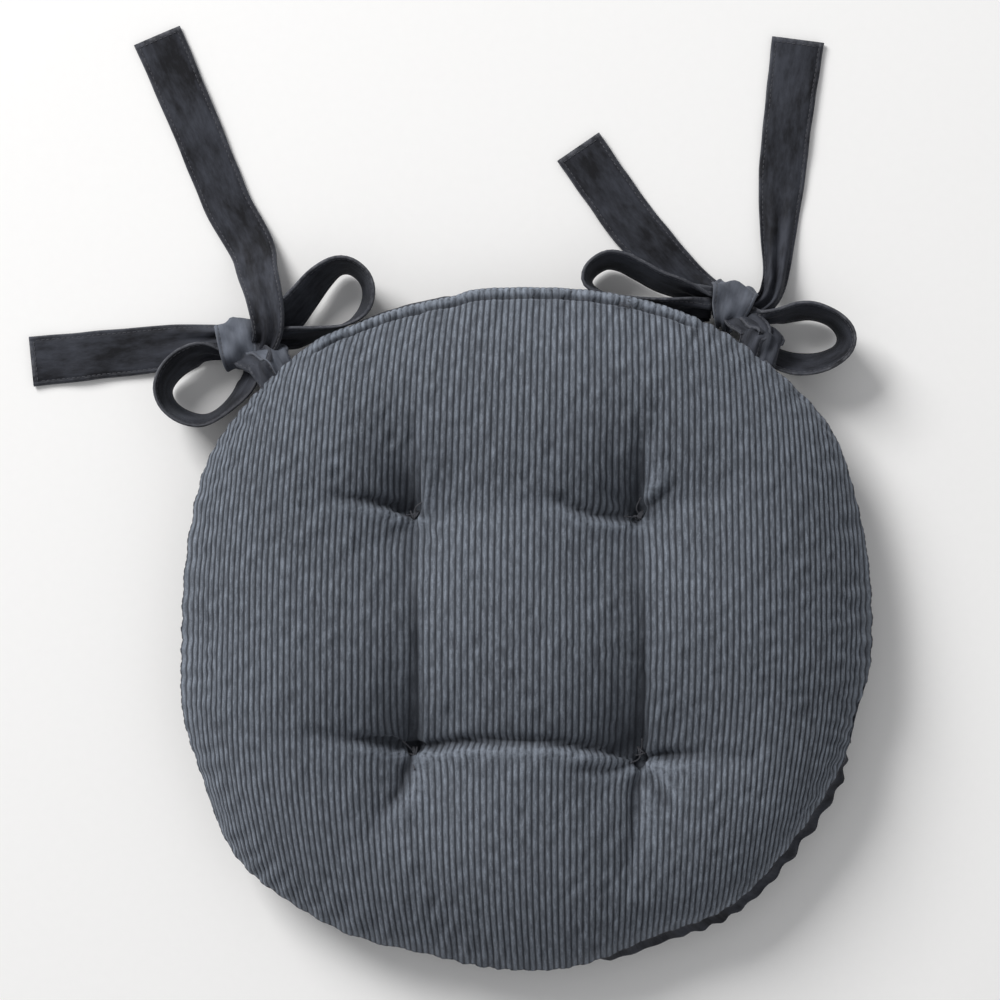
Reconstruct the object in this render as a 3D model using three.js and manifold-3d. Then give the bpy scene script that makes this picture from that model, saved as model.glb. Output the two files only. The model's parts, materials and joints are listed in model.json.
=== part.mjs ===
// A round tie-on chair cushion: a corduroy top and a velvet underside sewn together round the edge,
// stuffed with fibre, drawn in by four tufts, with two pairs of velvet ties knotted in bows at the back.
// Millimetres. +Z is up, +Y is the back edge with the ties. The origin is the middle of the underside.
import * as THREE from 'three';
import { mergeVertices } from 'three/addons/utils/BufferGeometryUtils.js';
import Module from 'manifold-3d';

const wasm = await Module();
wasm.setup();

// Pad
const padWidth = 400;
const padDepth = 396;
const outlinePower = 2.3; // 2 is an ellipse, more is squarer
const padHeight = 72;
const seamHeight = 30;
const topThickness = 1.6;
const underThickness = 1.2;
const seamAllowance = 10; // turned in along the edge seam
const fillInset = 12.5; // from the edge seam to the edge of the fibre
const fillClearance = 0.4;
const sectors = 40;

// Tufts
const tuftSpacingX = 130;
const tuftSpacingY = 137;
const tuftMiddleY = -2.5;
const topDimpleShare = 11 / 14; // of the pad's height over the seam, drawn in by a tuft
const topDimpleDepth = (padHeight - seamHeight) * topDimpleShare;
const topDimpleRadius = 52;
const underDimpleShare = 0.4; // of the seam's height
const underDimpleDepth = seamHeight * underDimpleShare;
const underDimpleRadius = 28;
const threadRadius = 1;
const beadRadius = 2.2;
const beadLift = 4; // bead middle over the cloth, so that it clears the slope of the dimple

// Ties
const strapWidth = 28;
const strapThickness = 2.4;
const tabWidth = 13; // the strap's end, folded double lengthwise where it is caught in the seam
const tabThickness = 4;
const tabDepth = 11;
const tabSpacing = 14;
const gatheredWidth = 17; // strap where it comes out of a knot
const knotRadius = 13.5;
const knotHeight = 22;
const stemTaper = 0.2; // a stem's width at the middle of the knot, as a share of its width at the seam
const hingeReach = 3; // least distance from the edge seam out to the line that the stems bend on
const stemBendGap = 4.4; // between a tab and its stem, which leaves them room to bend
const floorGap = 0.3; // between the ties and what the cushion lies on
const loopFoot = floorGap + strapThickness + 0.5; // loops stand over the tails that pass under them
const loopRise = 24.5; // strap on edge, leaning so that it stays under the pad's edge

// Clearance between pieces that touch on the real cushion, and round the seam thread
const touchGap = 0.3;
const seamThreadRadius = 0.5;
const seamThreadInset = 5;
const seamGrooveWidth = 1.8;
const seamGrooveDepth = 0.8;

// Where each pair of ties is sewn in and which way it points, degrees from the back middle and
// positive to the left, and its knot's place from the point where that pair leaves the seam
const ties = {
  left: { angle: 44.5, heading: 30, knot: [-22.8, 17.8] },
  right: { angle: -40, heading: -15, knot: [-14.7, 28.7] },
};

// Routes in plan from the middle of the knot. Tails are [x, y, underside height, width].
const leftRoutes = {
  back_loop: [
    [11, 8], [23, 17], [37, 30], [50, 41], [63, 46], [73, 41],
    [77, 30], [70, 17], [54, 11], [36, 8], [23, 3], [11, 1],
  ],
  front_loop: [
    [-10, -8], [-24, -12], [-36, -19], [-44, -30], [-37, -41],
    [-22, -45], [-10, -38], [-5, -26], [-3, -11],
  ],
  back_tail: [
    [5, 16, 10, gatheredWidth], [11, 40, 3, 24], [6, 72, floorGap, strapWidth],
    [-18, 120, floorGap, strapWidth], [-46, 174, floorGap, strapWidth],
  ],
  tail_root: [
    [-10, 0, floorGap, gatheredWidth], [-26, -1, floorGap, 22], [-45, -3, floorGap, strapWidth],
  ],
  side_tail: [
    [-48, -3.4, floorGap, strapWidth], [-82, -6, floorGap, strapWidth], [-117, -10, floorGap, strapWidth],
  ],
};
const rightRoutes = {
  inner_loop: [
    [-11, 7], [-25, 12], [-39, 14], [-59, 24], [-72, 26.5], [-82, 21],
    [-83, 13], [-72, 8], [-49, 4], [-26, 1], [-11, 0],
  ],
  outer_loop: [
    [11, -1], [22, -3], [36, -3], [51, -3], [64, -12], [66, -23],
    [57, -31], [46, -30], [36, -22], [26, -11.5], [12, -5],
  ],
  back_tail: [
    [11, 12, 10, gatheredWidth], [21, 28, 3, 20], [27, 52, floorGap, 25],
    [30, 92, floorGap, strapWidth], [37, 149, floorGap, strapWidth],
  ],
  tail_root: [
    [-6, 6, floorGap, gatheredWidth], [-17, 17, floorGap, 21], [-29, 30, floorGap, strapWidth],
  ],
  inner_tail: [
    [-31, 32.2, floorGap, strapWidth], [-60, 66, floorGap, strapWidth], [-88, 94, floorGap, strapWidth],
  ],
};

// Materials
const cloth = (color, roughness) => new THREE.MeshStandardMaterial({ color, roughness, metalness: 0 });
const corduroy = () => cloth(0x59606c, 0.95);
const velvet = () => cloth(0x2f3138, 0.85);
const thread = () => cloth(0x3a3e46, 0.8);
const fibre = () => cloth(0xe6e4de, 1);

// ---- Solids ----

function solidOf(geometry) {
  const bare = geometry.clone();
  bare.deleteAttribute('normal');
  bare.deleteAttribute('uv');
  const welded = mergeVertices(bare, 1e-3);
  const corners = welded.index.array;
  const kept = [];
  for (let i = 0; i < corners.length; i += 3) {
    const [a, b, c] = corners.slice(i, i + 3);
    if (a !== b && b !== c && c !== a) {
      kept.push(a, b, c);
    }
  }
  const mesh = new wasm.Mesh({
    numProp: 3,
    vertProperties: new Float32Array(welded.attributes.position.array),
    triVerts: new Uint32Array(kept),
  });
  return new wasm.Manifold(mesh);
}

function geometryOf(solid) {
  const mesh = solid.getMesh();
  const geometry = new THREE.BufferGeometry();
  geometry.setAttribute('position', new THREE.BufferAttribute(mesh.vertProperties, 3));
  geometry.setIndex(new THREE.BufferAttribute(mesh.triVerts, 1));
  geometry.computeVertexNormals();
  return geometry;
}

function cut(geometry, ...cutters) {
  const cutAway = (solid, cutter) => solid.subtract(solidOf(cutter));
  return geometryOf(cutters.reduce(cutAway, solidOf(geometry)));
}

function named(name, geometry, material) {
  const mesh = new THREE.Mesh(geometry, material);
  mesh.name = name;
  return mesh;
}

// ---- Pad outline and surfaces ----

function outlineRadius(angle) {
  const across = Math.abs(Math.cos(angle)) / (padWidth / 2);
  const along = Math.abs(Math.sin(angle)) / (padDepth / 2);
  return (across ** outlinePower + along ** outlinePower) ** (-1 / outlinePower);
}

const nominalRadius = padWidth / 2;
const tufts = [-1, 1].flatMap((side) => [-1, 1].map((end) => ({
  x: (side * tuftSpacingX) / 2,
  y: tuftMiddleY + (end * tuftSpacingY) / 2,
  name: `${end < 0 ? 'front' : 'back'}_${side < 0 ? 'left' : 'right'}`,
})));
const tuftShare = Math.hypot(tufts[3].x, tufts[3].y) / outlineRadius(Math.PI / 4);
const shares = [0, 0.16, 0.32, tuftShare, 0.6, 0.74, 0.85, 0.91];
const fillRadius = nominalRadius - fillInset;

function topSwell(radius) {
  const share = Math.min(1, radius / nominalRadius);
  return (padHeight - seamHeight) * (1 - share ** 2.5) ** 0.6;
}

function underSwell(radius) {
  const share = Math.min(1, radius / nominalRadius);
  return seamHeight * Math.min(1, 1.12 * (1 - share ** 3) ** 0.6);
}

function dimple(x, y, radius) {
  const pull = tufts.map((tuft) => {
    const near = Math.hypot(x - tuft.x, y - tuft.y) / radius;
    return near < 1 ? (1 - near ** 2) ** 2 : 0;
  });
  return Math.max(...pull);
}

// Turns a profile of [radius, height over the seam] round the middle, stretches it to the pad's outline
// and draws it in at the tufts.
function padBody(profile) {
  const points = profile.map(([radius, height]) => new THREE.Vector2(radius, height));
  const geometry = new THREE.LatheGeometry(points, sectors);
  geometry.rotateX(Math.PI / 2);
  const place = geometry.attributes.position;
  for (let i = 0; i < place.count; i += 1) {
    const angle = Math.atan2(place.getY(i), place.getX(i));
    const stretch = outlineRadius(angle) / nominalRadius;
    const x = place.getX(i) * stretch;
    const y = place.getY(i) * stretch;
    const height = place.getZ(i);
    const drop = height > 0
      ? -topDimpleDepth * dimple(x, y, topDimpleRadius)
      : underDimpleDepth * dimple(x, y, underDimpleRadius);
    place.setXYZ(i, x, y, seamHeight + height + drop);
  }
  return geometry;
}

const ringRadii = [...shares.map((share) => share * nominalRadius), fillRadius, 0.97 * nominalRadius];

// One panel: its outer form less its inner form, which leaves the skin and the turned seam allowance.
function panelGeometry(swell, thickness, sign) {
  const face = touchGap / 2;
  const groove = nominalRadius - seamThreadInset;
  const allowance = nominalRadius - seamAllowance;
  const edgeToMiddle = (depthAt) => ringRadii.map((r) => [r, swell(r) - depthAt(r)]).reverse();
  const outer = [
    [0, face],
    [groove - seamGrooveWidth / 2, face],
    [groove, face + seamGrooveDepth],
    [groove + seamGrooveWidth / 2, face],
    [nominalRadius, face],
    ...edgeToMiddle(() => 0),
  ];
  const inner = [
    [0, -1],
    [allowance, -1],
    [allowance, face + thickness],
    [groove + seamGrooveWidth / 2, face + thickness],
    ...edgeToMiddle((radius) => thickness * (radius > fillRadius ? 1.5 : 1)),
  ];
  const facing = (profile) => (sign > 0 ? profile : profile.reverse().map(([r, h]) => [r, -h]));
  return cut(padBody(facing(outer)), padBody(facing(inner)));
}

function fillProfile() {
  const radii = [...shares.map((share) => share * nominalRadius), fillRadius];
  const under = radii.map((r) => [r, -(underSwell(r) - underThickness - fillClearance)]);
  const over = radii.map((r) => [r, topSwell(r) - topThickness - fillClearance]);
  return [...under, ...over.reverse()];
}

// ---- Straps ----

// The point of the edge seam where a pair of ties leaves it, the way they point, and how far out the
// line that they bend on lies
function anchorPlace(tie) {
  const bearing = THREE.MathUtils.degToRad(tie.angle);
  const turn = THREE.MathUtils.degToRad(tie.heading);
  const radius = outlineRadius(bearing + Math.PI / 2);
  const skew = ((tabSpacing + tabWidth) / 2) * Math.abs(Math.sin(bearing - turn));
  return {
    x: -radius * Math.sin(bearing),
    y: radius * Math.cos(bearing),
    turn,
    reach: hingeReach + skew,
  };
}

// A strip between two edges of the same number of points, whose underside follows their heights
function strip(leftEdge, rightEdge, thickness) {
  const rim = [...leftEdge, ...[...rightEdge].reverse()];
  const shape = new THREE.Shape(rim.map((point) => new THREE.Vector2(point.x, point.y)));
  const geometry = new THREE.ExtrudeGeometry(shape, { depth: thickness, bevelEnabled: false });
  const place = geometry.attributes.position;
  for (let i = 0; i < place.count; i += 1) {
    const away = rim.map((point) => Math.hypot(point.x - place.getX(i), point.y - place.getY(i)));
    const nearest = rim[away.indexOf(Math.min(...away))];
    place.setZ(i, place.getZ(i) + Math.max(floorGap, nearest.z));
  }
  return geometry;
}

// A strap lying flat along a route
function flatStrap(route) {
  const edge = (side) => new THREE.CatmullRomCurve3(route.map(([x, y, z, width], i) => {
    const before = route[Math.max(0, i - 1)];
    const after = route[Math.min(route.length - 1, i + 1)];
    const along = new THREE.Vector2(after[0] - before[0], after[1] - before[1]).normalize();
    const out = (side * width) / 2;
    return new THREE.Vector3(x - along.y * out, y + along.x * out, z);
  }));
  const steps = (route.length - 1) * 3;
  return strip(edge(1).getPoints(steps), edge(-1).getPoints(steps), strapThickness);
}

// A strap standing on its edge along a route.
function standingStrap(route) {
  const curve = new THREE.CatmullRomCurve3(route.map(([x, y]) => new THREE.Vector3(x, y, 0)));
  const steps = (route.length - 1) * 3;
  const side = (offset) => Array.from({ length: steps + 1 }, (_, i) => {
    const point = curve.getPoint(i / steps);
    const along = curve.getTangent(i / steps);
    return new THREE.Vector2(point.x - along.y * offset, point.y + along.x * offset);
  });
  const half = strapThickness / 2;
  const shape = new THREE.Shape([...side(half), ...side(-half).reverse()]);
  const geometry = new THREE.ExtrudeGeometry(shape, { depth: loopRise, bevelEnabled: false });
  return geometry.translate(0, 0, loopFoot);
}

function knotShape(gap) {
  const ball = new THREE.SphereGeometry(1, 16, 10);
  ball.rotateX(Math.PI / 2);
  ball.scale(knotRadius + gap, knotRadius + gap, knotHeight / 2 + gap);
  return ball.translate(0, 0, floorGap + knotHeight / 2);
}

// A stem of a bow: the strap from the line it bends on to the knot, gathered towards the knot
function stemShape(tie, side) {
  const { turn, reach } = anchorPlace(tie);
  const start = reach + stemBendGap / 2;
  const high = seamHeight - tabThickness / 2;
  const low = floorGap + (knotHeight - tabThickness) / 2;
  const edge = (end) => {
    const across = (side * tabSpacing) / 2 + (end * tabWidth) / 2;
    const root = new THREE.Vector3(
      across * Math.cos(turn) - start * Math.sin(turn) - tie.knot[0],
      across * Math.sin(turn) + start * Math.cos(turn) - tie.knot[1],
      high,
    );
    const tip = new THREE.Vector3(root.x * stemTaper, root.y * stemTaper, low);
    return [root, root.clone().lerp(tip, 0.5), tip];
  };
  return strip(edge(1), edge(-1), tabThickness);
}

function makeBow(side, tie, routes) {
  const place = anchorPlace(tie);
  const bow = new THREE.Group();
  bow.position.set(place.x + tie.knot[0], place.y + tie.knot[1], 0);
  const addStrap = (name, geometry) => bow.add(named(`${side}_${name}`, geometry, velvet()));
  const clearOfKnot = (geometry) => cut(geometry, knotShape(touchGap));
  addStrap('knot', knotShape(0));
  addStrap('stem_a', clearOfKnot(stemShape(tie, -1)));
  addStrap('stem_b', clearOfKnot(stemShape(tie, 1)));
  for (const [name, route] of Object.entries(routes)) {
    if (name.endsWith('loop')) {
      addStrap(name, clearOfKnot(standingStrap(route)));
    } else if (name === 'tail_root') {
      addStrap(name, clearOfKnot(flatStrap(route)));
    } else {
      addStrap(name, flatStrap(route));
    }
  }
  return bow;
}

// ---- Assembly ----

const cushion = new THREE.Group();

// Space in the edge seam for a pair of strap ends
function tabPocket(tie) {
  const place = anchorPlace(tie);
  const width = tabSpacing + tabWidth + 2 * touchGap;
  const mouth = place.reach;
  const length = tabDepth + touchGap + mouth;
  const pocket = new THREE.BoxGeometry(width, length, tabThickness + 2 * touchGap);
  pocket.translate(0, mouth - length / 2, 0);
  pocket.rotateZ(place.turn);
  return pocket.translate(place.x, place.y, seamHeight);
}

const pockets = Object.values(ties).map(tabPocket);
const tuftHoles = tufts.map((tuft) => {
  const hole = new THREE.CylinderGeometry(threadRadius + touchGap, threadRadius + touchGap, 2 * padHeight, 8);
  hole.rotateX(Math.PI / 2);
  return hole.translate(tuft.x, tuft.y, 0);
});

const topCloth = panelGeometry(topSwell, topThickness, 1);
const underCloth = panelGeometry(underSwell, underThickness, -1);
cushion.add(named('top_panel', cut(topCloth, ...pockets, ...tuftHoles), corduroy()));
cushion.add(named('bottom_panel', cut(underCloth, ...pockets, ...tuftHoles), velvet()));
cushion.add(named('fibre_fill', cut(padBody(fillProfile()), ...pockets, ...tuftHoles), fibre()));

// The edge seam's thread. Between the ties it is the closing seam, sewn last.
const threadSection = Array.from({ length: 7 }, (_, i) => {
  const turn = (i * Math.PI) / 3;
  const radius = nominalRadius - seamThreadInset + seamThreadRadius * Math.cos(turn);
  return [radius, seamThreadRadius * Math.sin(turn)];
});
const seamRing = cut(padBody(threadSection), ...pockets);
const pastSeam = 2; // the wedge reaches this many times as far out as the seam
const wedgeEnds = [ties.right, ties.left].map((tie) => {
  const place = anchorPlace(tie);
  return new THREE.Vector2(pastSeam * place.x, pastSeam * place.y);
});
const backWedge = new THREE.ExtrudeGeometry(
  new THREE.Shape([new THREE.Vector2(0, 0), ...wedgeEnds]),
  { depth: padHeight, bevelEnabled: false },
);
const closing = solidOf(seamRing).intersect(solidOf(backWedge));
cushion.add(named('edge_seam_thread', cut(seamRing, backWedge), thread()));
cushion.add(named('closing_seam_thread', geometryOf(closing), thread()));

// Tuft threads, knotted over and under the cloth
function clothHeight(geometry, tuft, from) {
  const ray = new THREE.Raycaster();
  const away = new THREE.Vector3(tuft.x, tuft.y, from * 2 * padHeight);
  ray.set(away, new THREE.Vector3(0, 0, -from));
  const sheet = new THREE.Mesh(geometry, new THREE.MeshBasicMaterial({ side: THREE.DoubleSide }));
  return ray.intersectObject(sheet)[0].point.z;
}

// Half of a bead, from its pole (end -1 is under it, 1 over it) to where the thread leaves it
function beadOutline(height, end) {
  const turns = [90, 50, 10, -30].map((degrees) => THREE.MathUtils.degToRad(degrees));
  const points = turns.map((turn, i) => new THREE.Vector2(
    i === 0 ? 0 : beadRadius * Math.cos(turn),
    height + end * beadRadius * Math.sin(turn),
  ));
  return [...points, new THREE.Vector2(threadRadius, height - end * beadRadius)];
}

for (const tuft of tufts) {
  const high = clothHeight(topCloth, tuft, 1) + beadLift;
  const low = clothHeight(underCloth, tuft, -1) - beadLift;
  const stitch = new THREE.LatheGeometry([...beadOutline(low, -1), ...beadOutline(high, 1).reverse()], 8);
  stitch.rotateX(Math.PI / 2);
  const mesh = named(`${tuft.name}_tuft_thread`, geometryOf(solidOf(stitch)), thread());
  mesh.position.set(tuft.x, tuft.y, 0);
  cushion.add(mesh);
}

// Strap ends caught in the seam
for (const [side, tie] of Object.entries(ties)) {
  const place = anchorPlace(tie);
  const seamPoint = new THREE.Group();
  seamPoint.position.set(place.x, place.y, seamHeight);
  seamPoint.rotation.z = place.turn;
  for (const [letter, step] of [['a', -1], ['b', 1]]) {
    const length = tabDepth + place.reach - stemBendGap / 2;
    const tab = new THREE.BoxGeometry(tabWidth, length, tabThickness);
    const mesh = named(`${side}_tab_${letter}`, tab, velvet());
    mesh.position.set((step * tabSpacing) / 2, length / 2 - tabDepth, 0);
    seamPoint.add(mesh);
  }
  cushion.add(seamPoint);
}

cushion.add(makeBow('left', ties.left, leftRoutes));
cushion.add(makeBow('right', ties.right, rightRoutes));

export default cushion;
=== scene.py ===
"""A round tie-on chair cushion: corduroy top, velvet underside and ties, four tufts and two bows.

Lengths are in metres and +Z is up. +Y is the back edge, where the ties are sewn in.
"""

import json
import math

import bmesh
import bpy
import numpy as np
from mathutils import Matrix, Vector


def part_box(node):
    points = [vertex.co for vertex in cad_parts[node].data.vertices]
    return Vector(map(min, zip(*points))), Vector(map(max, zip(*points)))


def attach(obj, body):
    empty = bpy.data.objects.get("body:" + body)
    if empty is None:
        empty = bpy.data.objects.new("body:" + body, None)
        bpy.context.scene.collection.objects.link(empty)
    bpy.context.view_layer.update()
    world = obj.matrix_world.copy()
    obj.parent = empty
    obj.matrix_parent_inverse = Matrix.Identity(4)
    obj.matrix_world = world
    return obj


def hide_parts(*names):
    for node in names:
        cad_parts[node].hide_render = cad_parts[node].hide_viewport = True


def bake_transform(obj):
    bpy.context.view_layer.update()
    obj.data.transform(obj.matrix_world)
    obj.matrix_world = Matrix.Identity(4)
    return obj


bl_info = {
    "name": "Tie-on corduroy cushion",
    "version": (1, 0, 0),
    "blender": (4, 5, 0),
    "location": "View3D > Sidebar > Cushion",
    "description": "Makes a tufted corduroy chair cushion with velvet ties, piece by piece",
    "category": "Add Mesh",
}

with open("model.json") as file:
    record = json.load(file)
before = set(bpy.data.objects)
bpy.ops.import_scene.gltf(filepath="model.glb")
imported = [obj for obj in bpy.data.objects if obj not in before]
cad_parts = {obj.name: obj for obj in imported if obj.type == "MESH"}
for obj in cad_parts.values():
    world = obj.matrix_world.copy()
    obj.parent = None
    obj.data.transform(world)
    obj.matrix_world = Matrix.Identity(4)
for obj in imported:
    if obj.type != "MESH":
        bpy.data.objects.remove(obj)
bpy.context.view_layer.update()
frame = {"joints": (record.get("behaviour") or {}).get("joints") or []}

MM = 0.001


# Places taken from the frame


def box_middle(node):
    low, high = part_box(node)
    return (low + high) / 2


def joint_named(name):
    return next(joint for joint in frame["joints"] if joint["name"] == name)


TOP_LOW, TOP_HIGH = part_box("top_panel")
PAD_WIDTH = TOP_HIGH.x - TOP_LOW.x
PAD_DEPTH = TOP_HIGH.y - TOP_LOW.y
PAD_HEIGHT = TOP_HIGH.z
SEAM_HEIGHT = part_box("bottom_panel")[1].z
TUFT_PLACES = ("back_left", "back_right", "front_left", "front_right")
TUFT_NODES = {place: f"{place}_tuft_thread" for place in TUFT_PLACES}
TUFTS = {place: np.array(box_middle(node))[:2] for place, node in TUFT_NODES.items()}
KNOTS = {side: np.array(box_middle(f"{side}_knot")) for side in ("left", "right")}


# Sizes and colours that a user would change


class CushionPadSizes(bpy.types.PropertyGroup):
    """Sizes of the stuffed pad."""

    outline_power: bpy.props.FloatProperty(
        name="Outline squareness",
        description="2 gives an ellipse and more gives a squarer outline",
        default=2.3,
        min=2.0,
        max=4.0,
    )
    wale_pitch: bpy.props.FloatProperty(
        name="Wale pitch",
        description="Distance from one corduroy rib to the next",
        default=3.5 * MM,
        unit="LENGTH",
    )
    wale_relief: bpy.props.FloatProperty(
        name="Wale height",
        description="Height of a corduroy rib over the furrow beside it",
        default=0.85 * MM,
        unit="LENGTH",
    )
    tuft_floor: bpy.props.FloatProperty(
        name="Tuft height over seam",
        description="How far over the edge seam the top cloth is held down at a tuft",
        default=8.0 * MM,
        unit="LENGTH",
    )
    tuft_reach: bpy.props.FloatProperty(
        name="Tuft dimple reach",
        description="How far round a tuft the cloth is drawn down",
        default=33.0 * MM,
        unit="LENGTH",
    )
    ease: bpy.props.FloatProperty(
        name="Cloth ease",
        description="Cut size of the panels as a share of the finished outline",
        default=1.11,
        min=1.0,
        max=1.3,
    )
    stuffing_pressure: bpy.props.FloatProperty(
        name="Stuffing pressure",
        description="Outward push of the stuffing while the cover settles",
        default=100.0,
        min=0.0,
    )
    scallop_depth: bpy.props.FloatProperty(
        name="Edge pucker depth",
        description="How far the gathers along the edge seam draw it in and out",
        default=0.6 * MM,
        unit="LENGTH",
    )
    scallop_pitch: bpy.props.FloatProperty(
        name="Edge pucker pitch",
        description="Distance from one gather to the next along the edge seam",
        default=13.0 * MM,
        unit="LENGTH",
    )


class CushionTieSizes(bpy.types.PropertyGroup):
    """Sizes of the velvet ties."""

    strap_width: bpy.props.FloatProperty(
        name="Strap width",
        description="Finished width of a tie",
        default=28.0 * MM,
        unit="LENGTH",
    )
    strap_thickness: bpy.props.FloatProperty(
        name="Strap thickness",
        description="Thickness of a tie, two layers of velvet sewn together",
        default=2.2 * MM,
        unit="LENGTH",
    )
    loop_lean: bpy.props.FloatProperty(
        name="Loop lean",
        description="How far the loops lean from upright, as a share of how they were tied",
        default=1.0,
        subtype="FACTOR",
    )
    stitch_length: bpy.props.FloatProperty(
        name="Stitch length",
        description="Length of a topstitch on the ties",
        default=2.3 * MM,
        unit="LENGTH",
    )
    stitch_pitch: bpy.props.FloatProperty(
        name="Stitch pitch",
        description="Distance from one topstitch to the next",
        default=3.0 * MM,
        unit="LENGTH",
    )


class CushionColours(bpy.types.PropertyGroup):
    """Colours of the cloths and threads."""

    # Painted light: the rib colour is the lit crest and the furrow colour is darkened with painted
    # shade; painted shade also mixes the corduroy towards the furrow colour.
    wale_crest: bpy.props.FloatVectorProperty(
        name="Corduroy rib",
        description="Colour of the pile on top of a rib",
        default=(0.150, 0.170, 0.205),
        subtype="COLOR",
    )
    wale_furrow_shade: bpy.props.FloatVectorProperty(
        name="Corduroy furrow",
        description="Colour between the ribs",
        default=(0.028, 0.031, 0.039),
        subtype="COLOR",
    )
    velvet_deep: bpy.props.FloatVectorProperty(
        name="Velvet, brushed away",
        description="Colour of the velvet where its nap leans away from the light",
        default=(0.0055, 0.0058, 0.0085),
        subtype="COLOR",
    )
    velvet_light: bpy.props.FloatVectorProperty(
        name="Velvet, brushed towards",
        description="Colour of the velvet where its nap catches the light",
        default=(0.042, 0.046, 0.060),
        subtype="COLOR",
    )
    # Painted highlight: the lit velvet colour, mixed in on the knots and stems by their lit attribute.
    velvet_lit: bpy.props.FloatVectorProperty(
        name="Velvet, turned to the light",
        description="Colour of the velvet on the knots, where its nap faces up",
        default=(0.140, 0.157, 0.195),
        subtype="COLOR",
    )
    # Wear and painted highlight: the paler colour of the ties' rubbed edges and seam lines.
    velvet_worn_highlight: bpy.props.FloatVectorProperty(
        name="Velvet, worn and highlit edge",
        description="Colour of the rubbed edges and seam lines of the ties",
        default=(0.15, 0.155, 0.175),
        subtype="COLOR",
    )
    thread: bpy.props.FloatVectorProperty(
        name="Thread",
        description="Colour of the sewing thread",
        default=(0.030, 0.031, 0.038),
        subtype="COLOR",
    )
    fibre: bpy.props.FloatVectorProperty(
        name="Stuffing",
        description="Colour of the fibre inside",
        default=(0.72, 0.70, 0.66),
        subtype="COLOR",
    )


# Small helpers


def smooth_step(value, low, high):
    share = np.clip((value - low) / (high - low), 0, 1)
    return share * share * (3 - 2 * share)


def wobble(position, seed, wavelength, waves=5):
    """Smooth waviness from -1 to 1 along a line, the same for the same seed."""
    rng = np.random.default_rng(seed)
    total = np.zeros_like(np.asarray(position, float))
    for _ in range(waves):
        length = wavelength * rng.uniform(0.6, 1.8)
        total = total + np.sin(2 * math.pi * (position / length + rng.uniform()))
    return total / waves ** 0.5 / 1.6


def bell(distance, width):
    """1 at no distance, falling away smoothly over the width."""
    return np.exp(-((distance / width) ** 2))


def unit(vectors):
    return vectors / np.maximum(np.linalg.norm(vectors, axis=-1, keepdims=True), 1e-12)


def path_lengths(points):
    """How far along a line of points each of them lies."""
    steps = np.linalg.norm(np.diff(points, axis=0), axis=1)
    return np.concatenate([[0], np.cumsum(steps)])


def spline(points, spacing):
    """Points along a smooth curve through the given points, evenly spaced. All columns follow."""
    points = np.asarray(points, float)
    ends = np.vstack([2 * points[0] - points[1], points, 2 * points[-1] - points[-2]])
    share = np.linspace(0, 1, 12, endpoint=False)[:, None]
    runs = []
    for a, b, c, d in zip(ends[:-3], ends[1:-2], ends[2:-1], ends[3:]):
        cubic = -a + 3 * b - 3 * c + d
        square = 2 * a - 5 * b + 4 * c - d
        runs.append(0.5 * (2 * b + (c - a) * share + square * share**2 + cubic * share**3))
    fine = np.vstack(runs + [points[-1:]])
    along = path_lengths(fine[:, :3])
    count = max(3, int(round(along[-1] / spacing)) + 1)
    places = np.linspace(0, along[-1], count)
    return np.stack([np.interp(places, along, column) for column in fine.T], axis=1)


def new_piece(name, vertices, faces, material, attributes=None):
    """A smooth-shaded mesh object with per-point attributes for its material."""
    mesh = bpy.data.meshes.new(name)
    mesh.from_pydata(np.asarray(vertices).tolist(), [], [list(face) for face in faces])
    mesh.update()
    mesh.polygons.foreach_set("use_smooth", np.ones(len(mesh.polygons), bool))
    for key, values in (attributes or {}).items():
        values = np.asarray(values, np.float32)
        kind = "FLOAT_VECTOR" if values.ndim == 2 else "FLOAT"
        layer = mesh.attributes.new(key, kind, "POINT")
        layer.data.foreach_set("vector" if values.ndim == 2 else "value", values.ravel())
    mesh.materials.append(material)
    piece = bpy.data.objects.new(name, mesh)
    bpy.context.scene.collection.objects.link(piece)
    return piece


def grid_faces(rows, columns, turned=False):
    """Quads of a rows by columns grid of points."""
    ids = np.arange(rows * columns).reshape(rows, columns)
    corners = [ids[:-1, :-1], ids[1:, :-1], ids[1:, 1:], ids[:-1, 1:]]
    if turned:
        corners = corners[::-1]
    return np.stack(corners, -1).reshape(-1, 4)


def shared_rim_ids(rim):
    """Point numbers of an upper and a lower grid that share the points of their rim."""
    upper = np.arange(rim.size).reshape(rim.shape)
    lower = upper.copy()
    lower[~rim] = rim.size + np.arange((~rim).sum())
    return upper, lower


def closed_faces(lower):
    """Faces of an upper grid and of the lower grid that shares its rim."""
    quads = grid_faces(*lower.shape)
    return np.concatenate([quads, lower.ravel()[quads][:, ::-1]])


def ring_quads(rings, count):
    """Quads between rings of points, each ring closed on itself."""
    quads = []
    for ring in range(rings - 1):
        for k in range(count):
            a = ring * count + k
            b = ring * count + (k + 1) % count
            quads.append((a, a + count, b + count, b))
    return quads


# Shape of the pad


# Where the hand-sewn outline strays from even: direction and width in degrees, mm outward
OUTLINE_BUMPS = [
    (-15, 6, -5.5),
    (-39, 15, -6.0),
    (-66, 9, -5.5),
    (-108, 10, -4.5),
    (-142, 10, 6.0),
    (-166, 8, 3.0),
    (152, 9, 3.0),
    (33, 8, 3.5),
]


def outline_radius(angle, sizes):
    """Distance from the middle to the edge seam in that direction."""
    power = sizes.outline_power
    across = np.abs(np.cos(angle)) / (PAD_WIDTH / 2)
    along = np.abs(np.sin(angle)) / (PAD_DEPTH / 2)
    even = (across**power + along**power) ** (-1 / power)
    uneven = np.zeros_like(even)
    for middle, width, out in OUTLINE_BUMPS:
        apart = (np.degrees(angle) - middle + 180) % 360 - 180
        uneven = uneven + out * MM * bell(apart, width)
    return even + uneven


def disc_from_square(u, v):
    return u * np.sqrt(1 - v * v / 2), v * np.sqrt(1 - u * u / 2)


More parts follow.
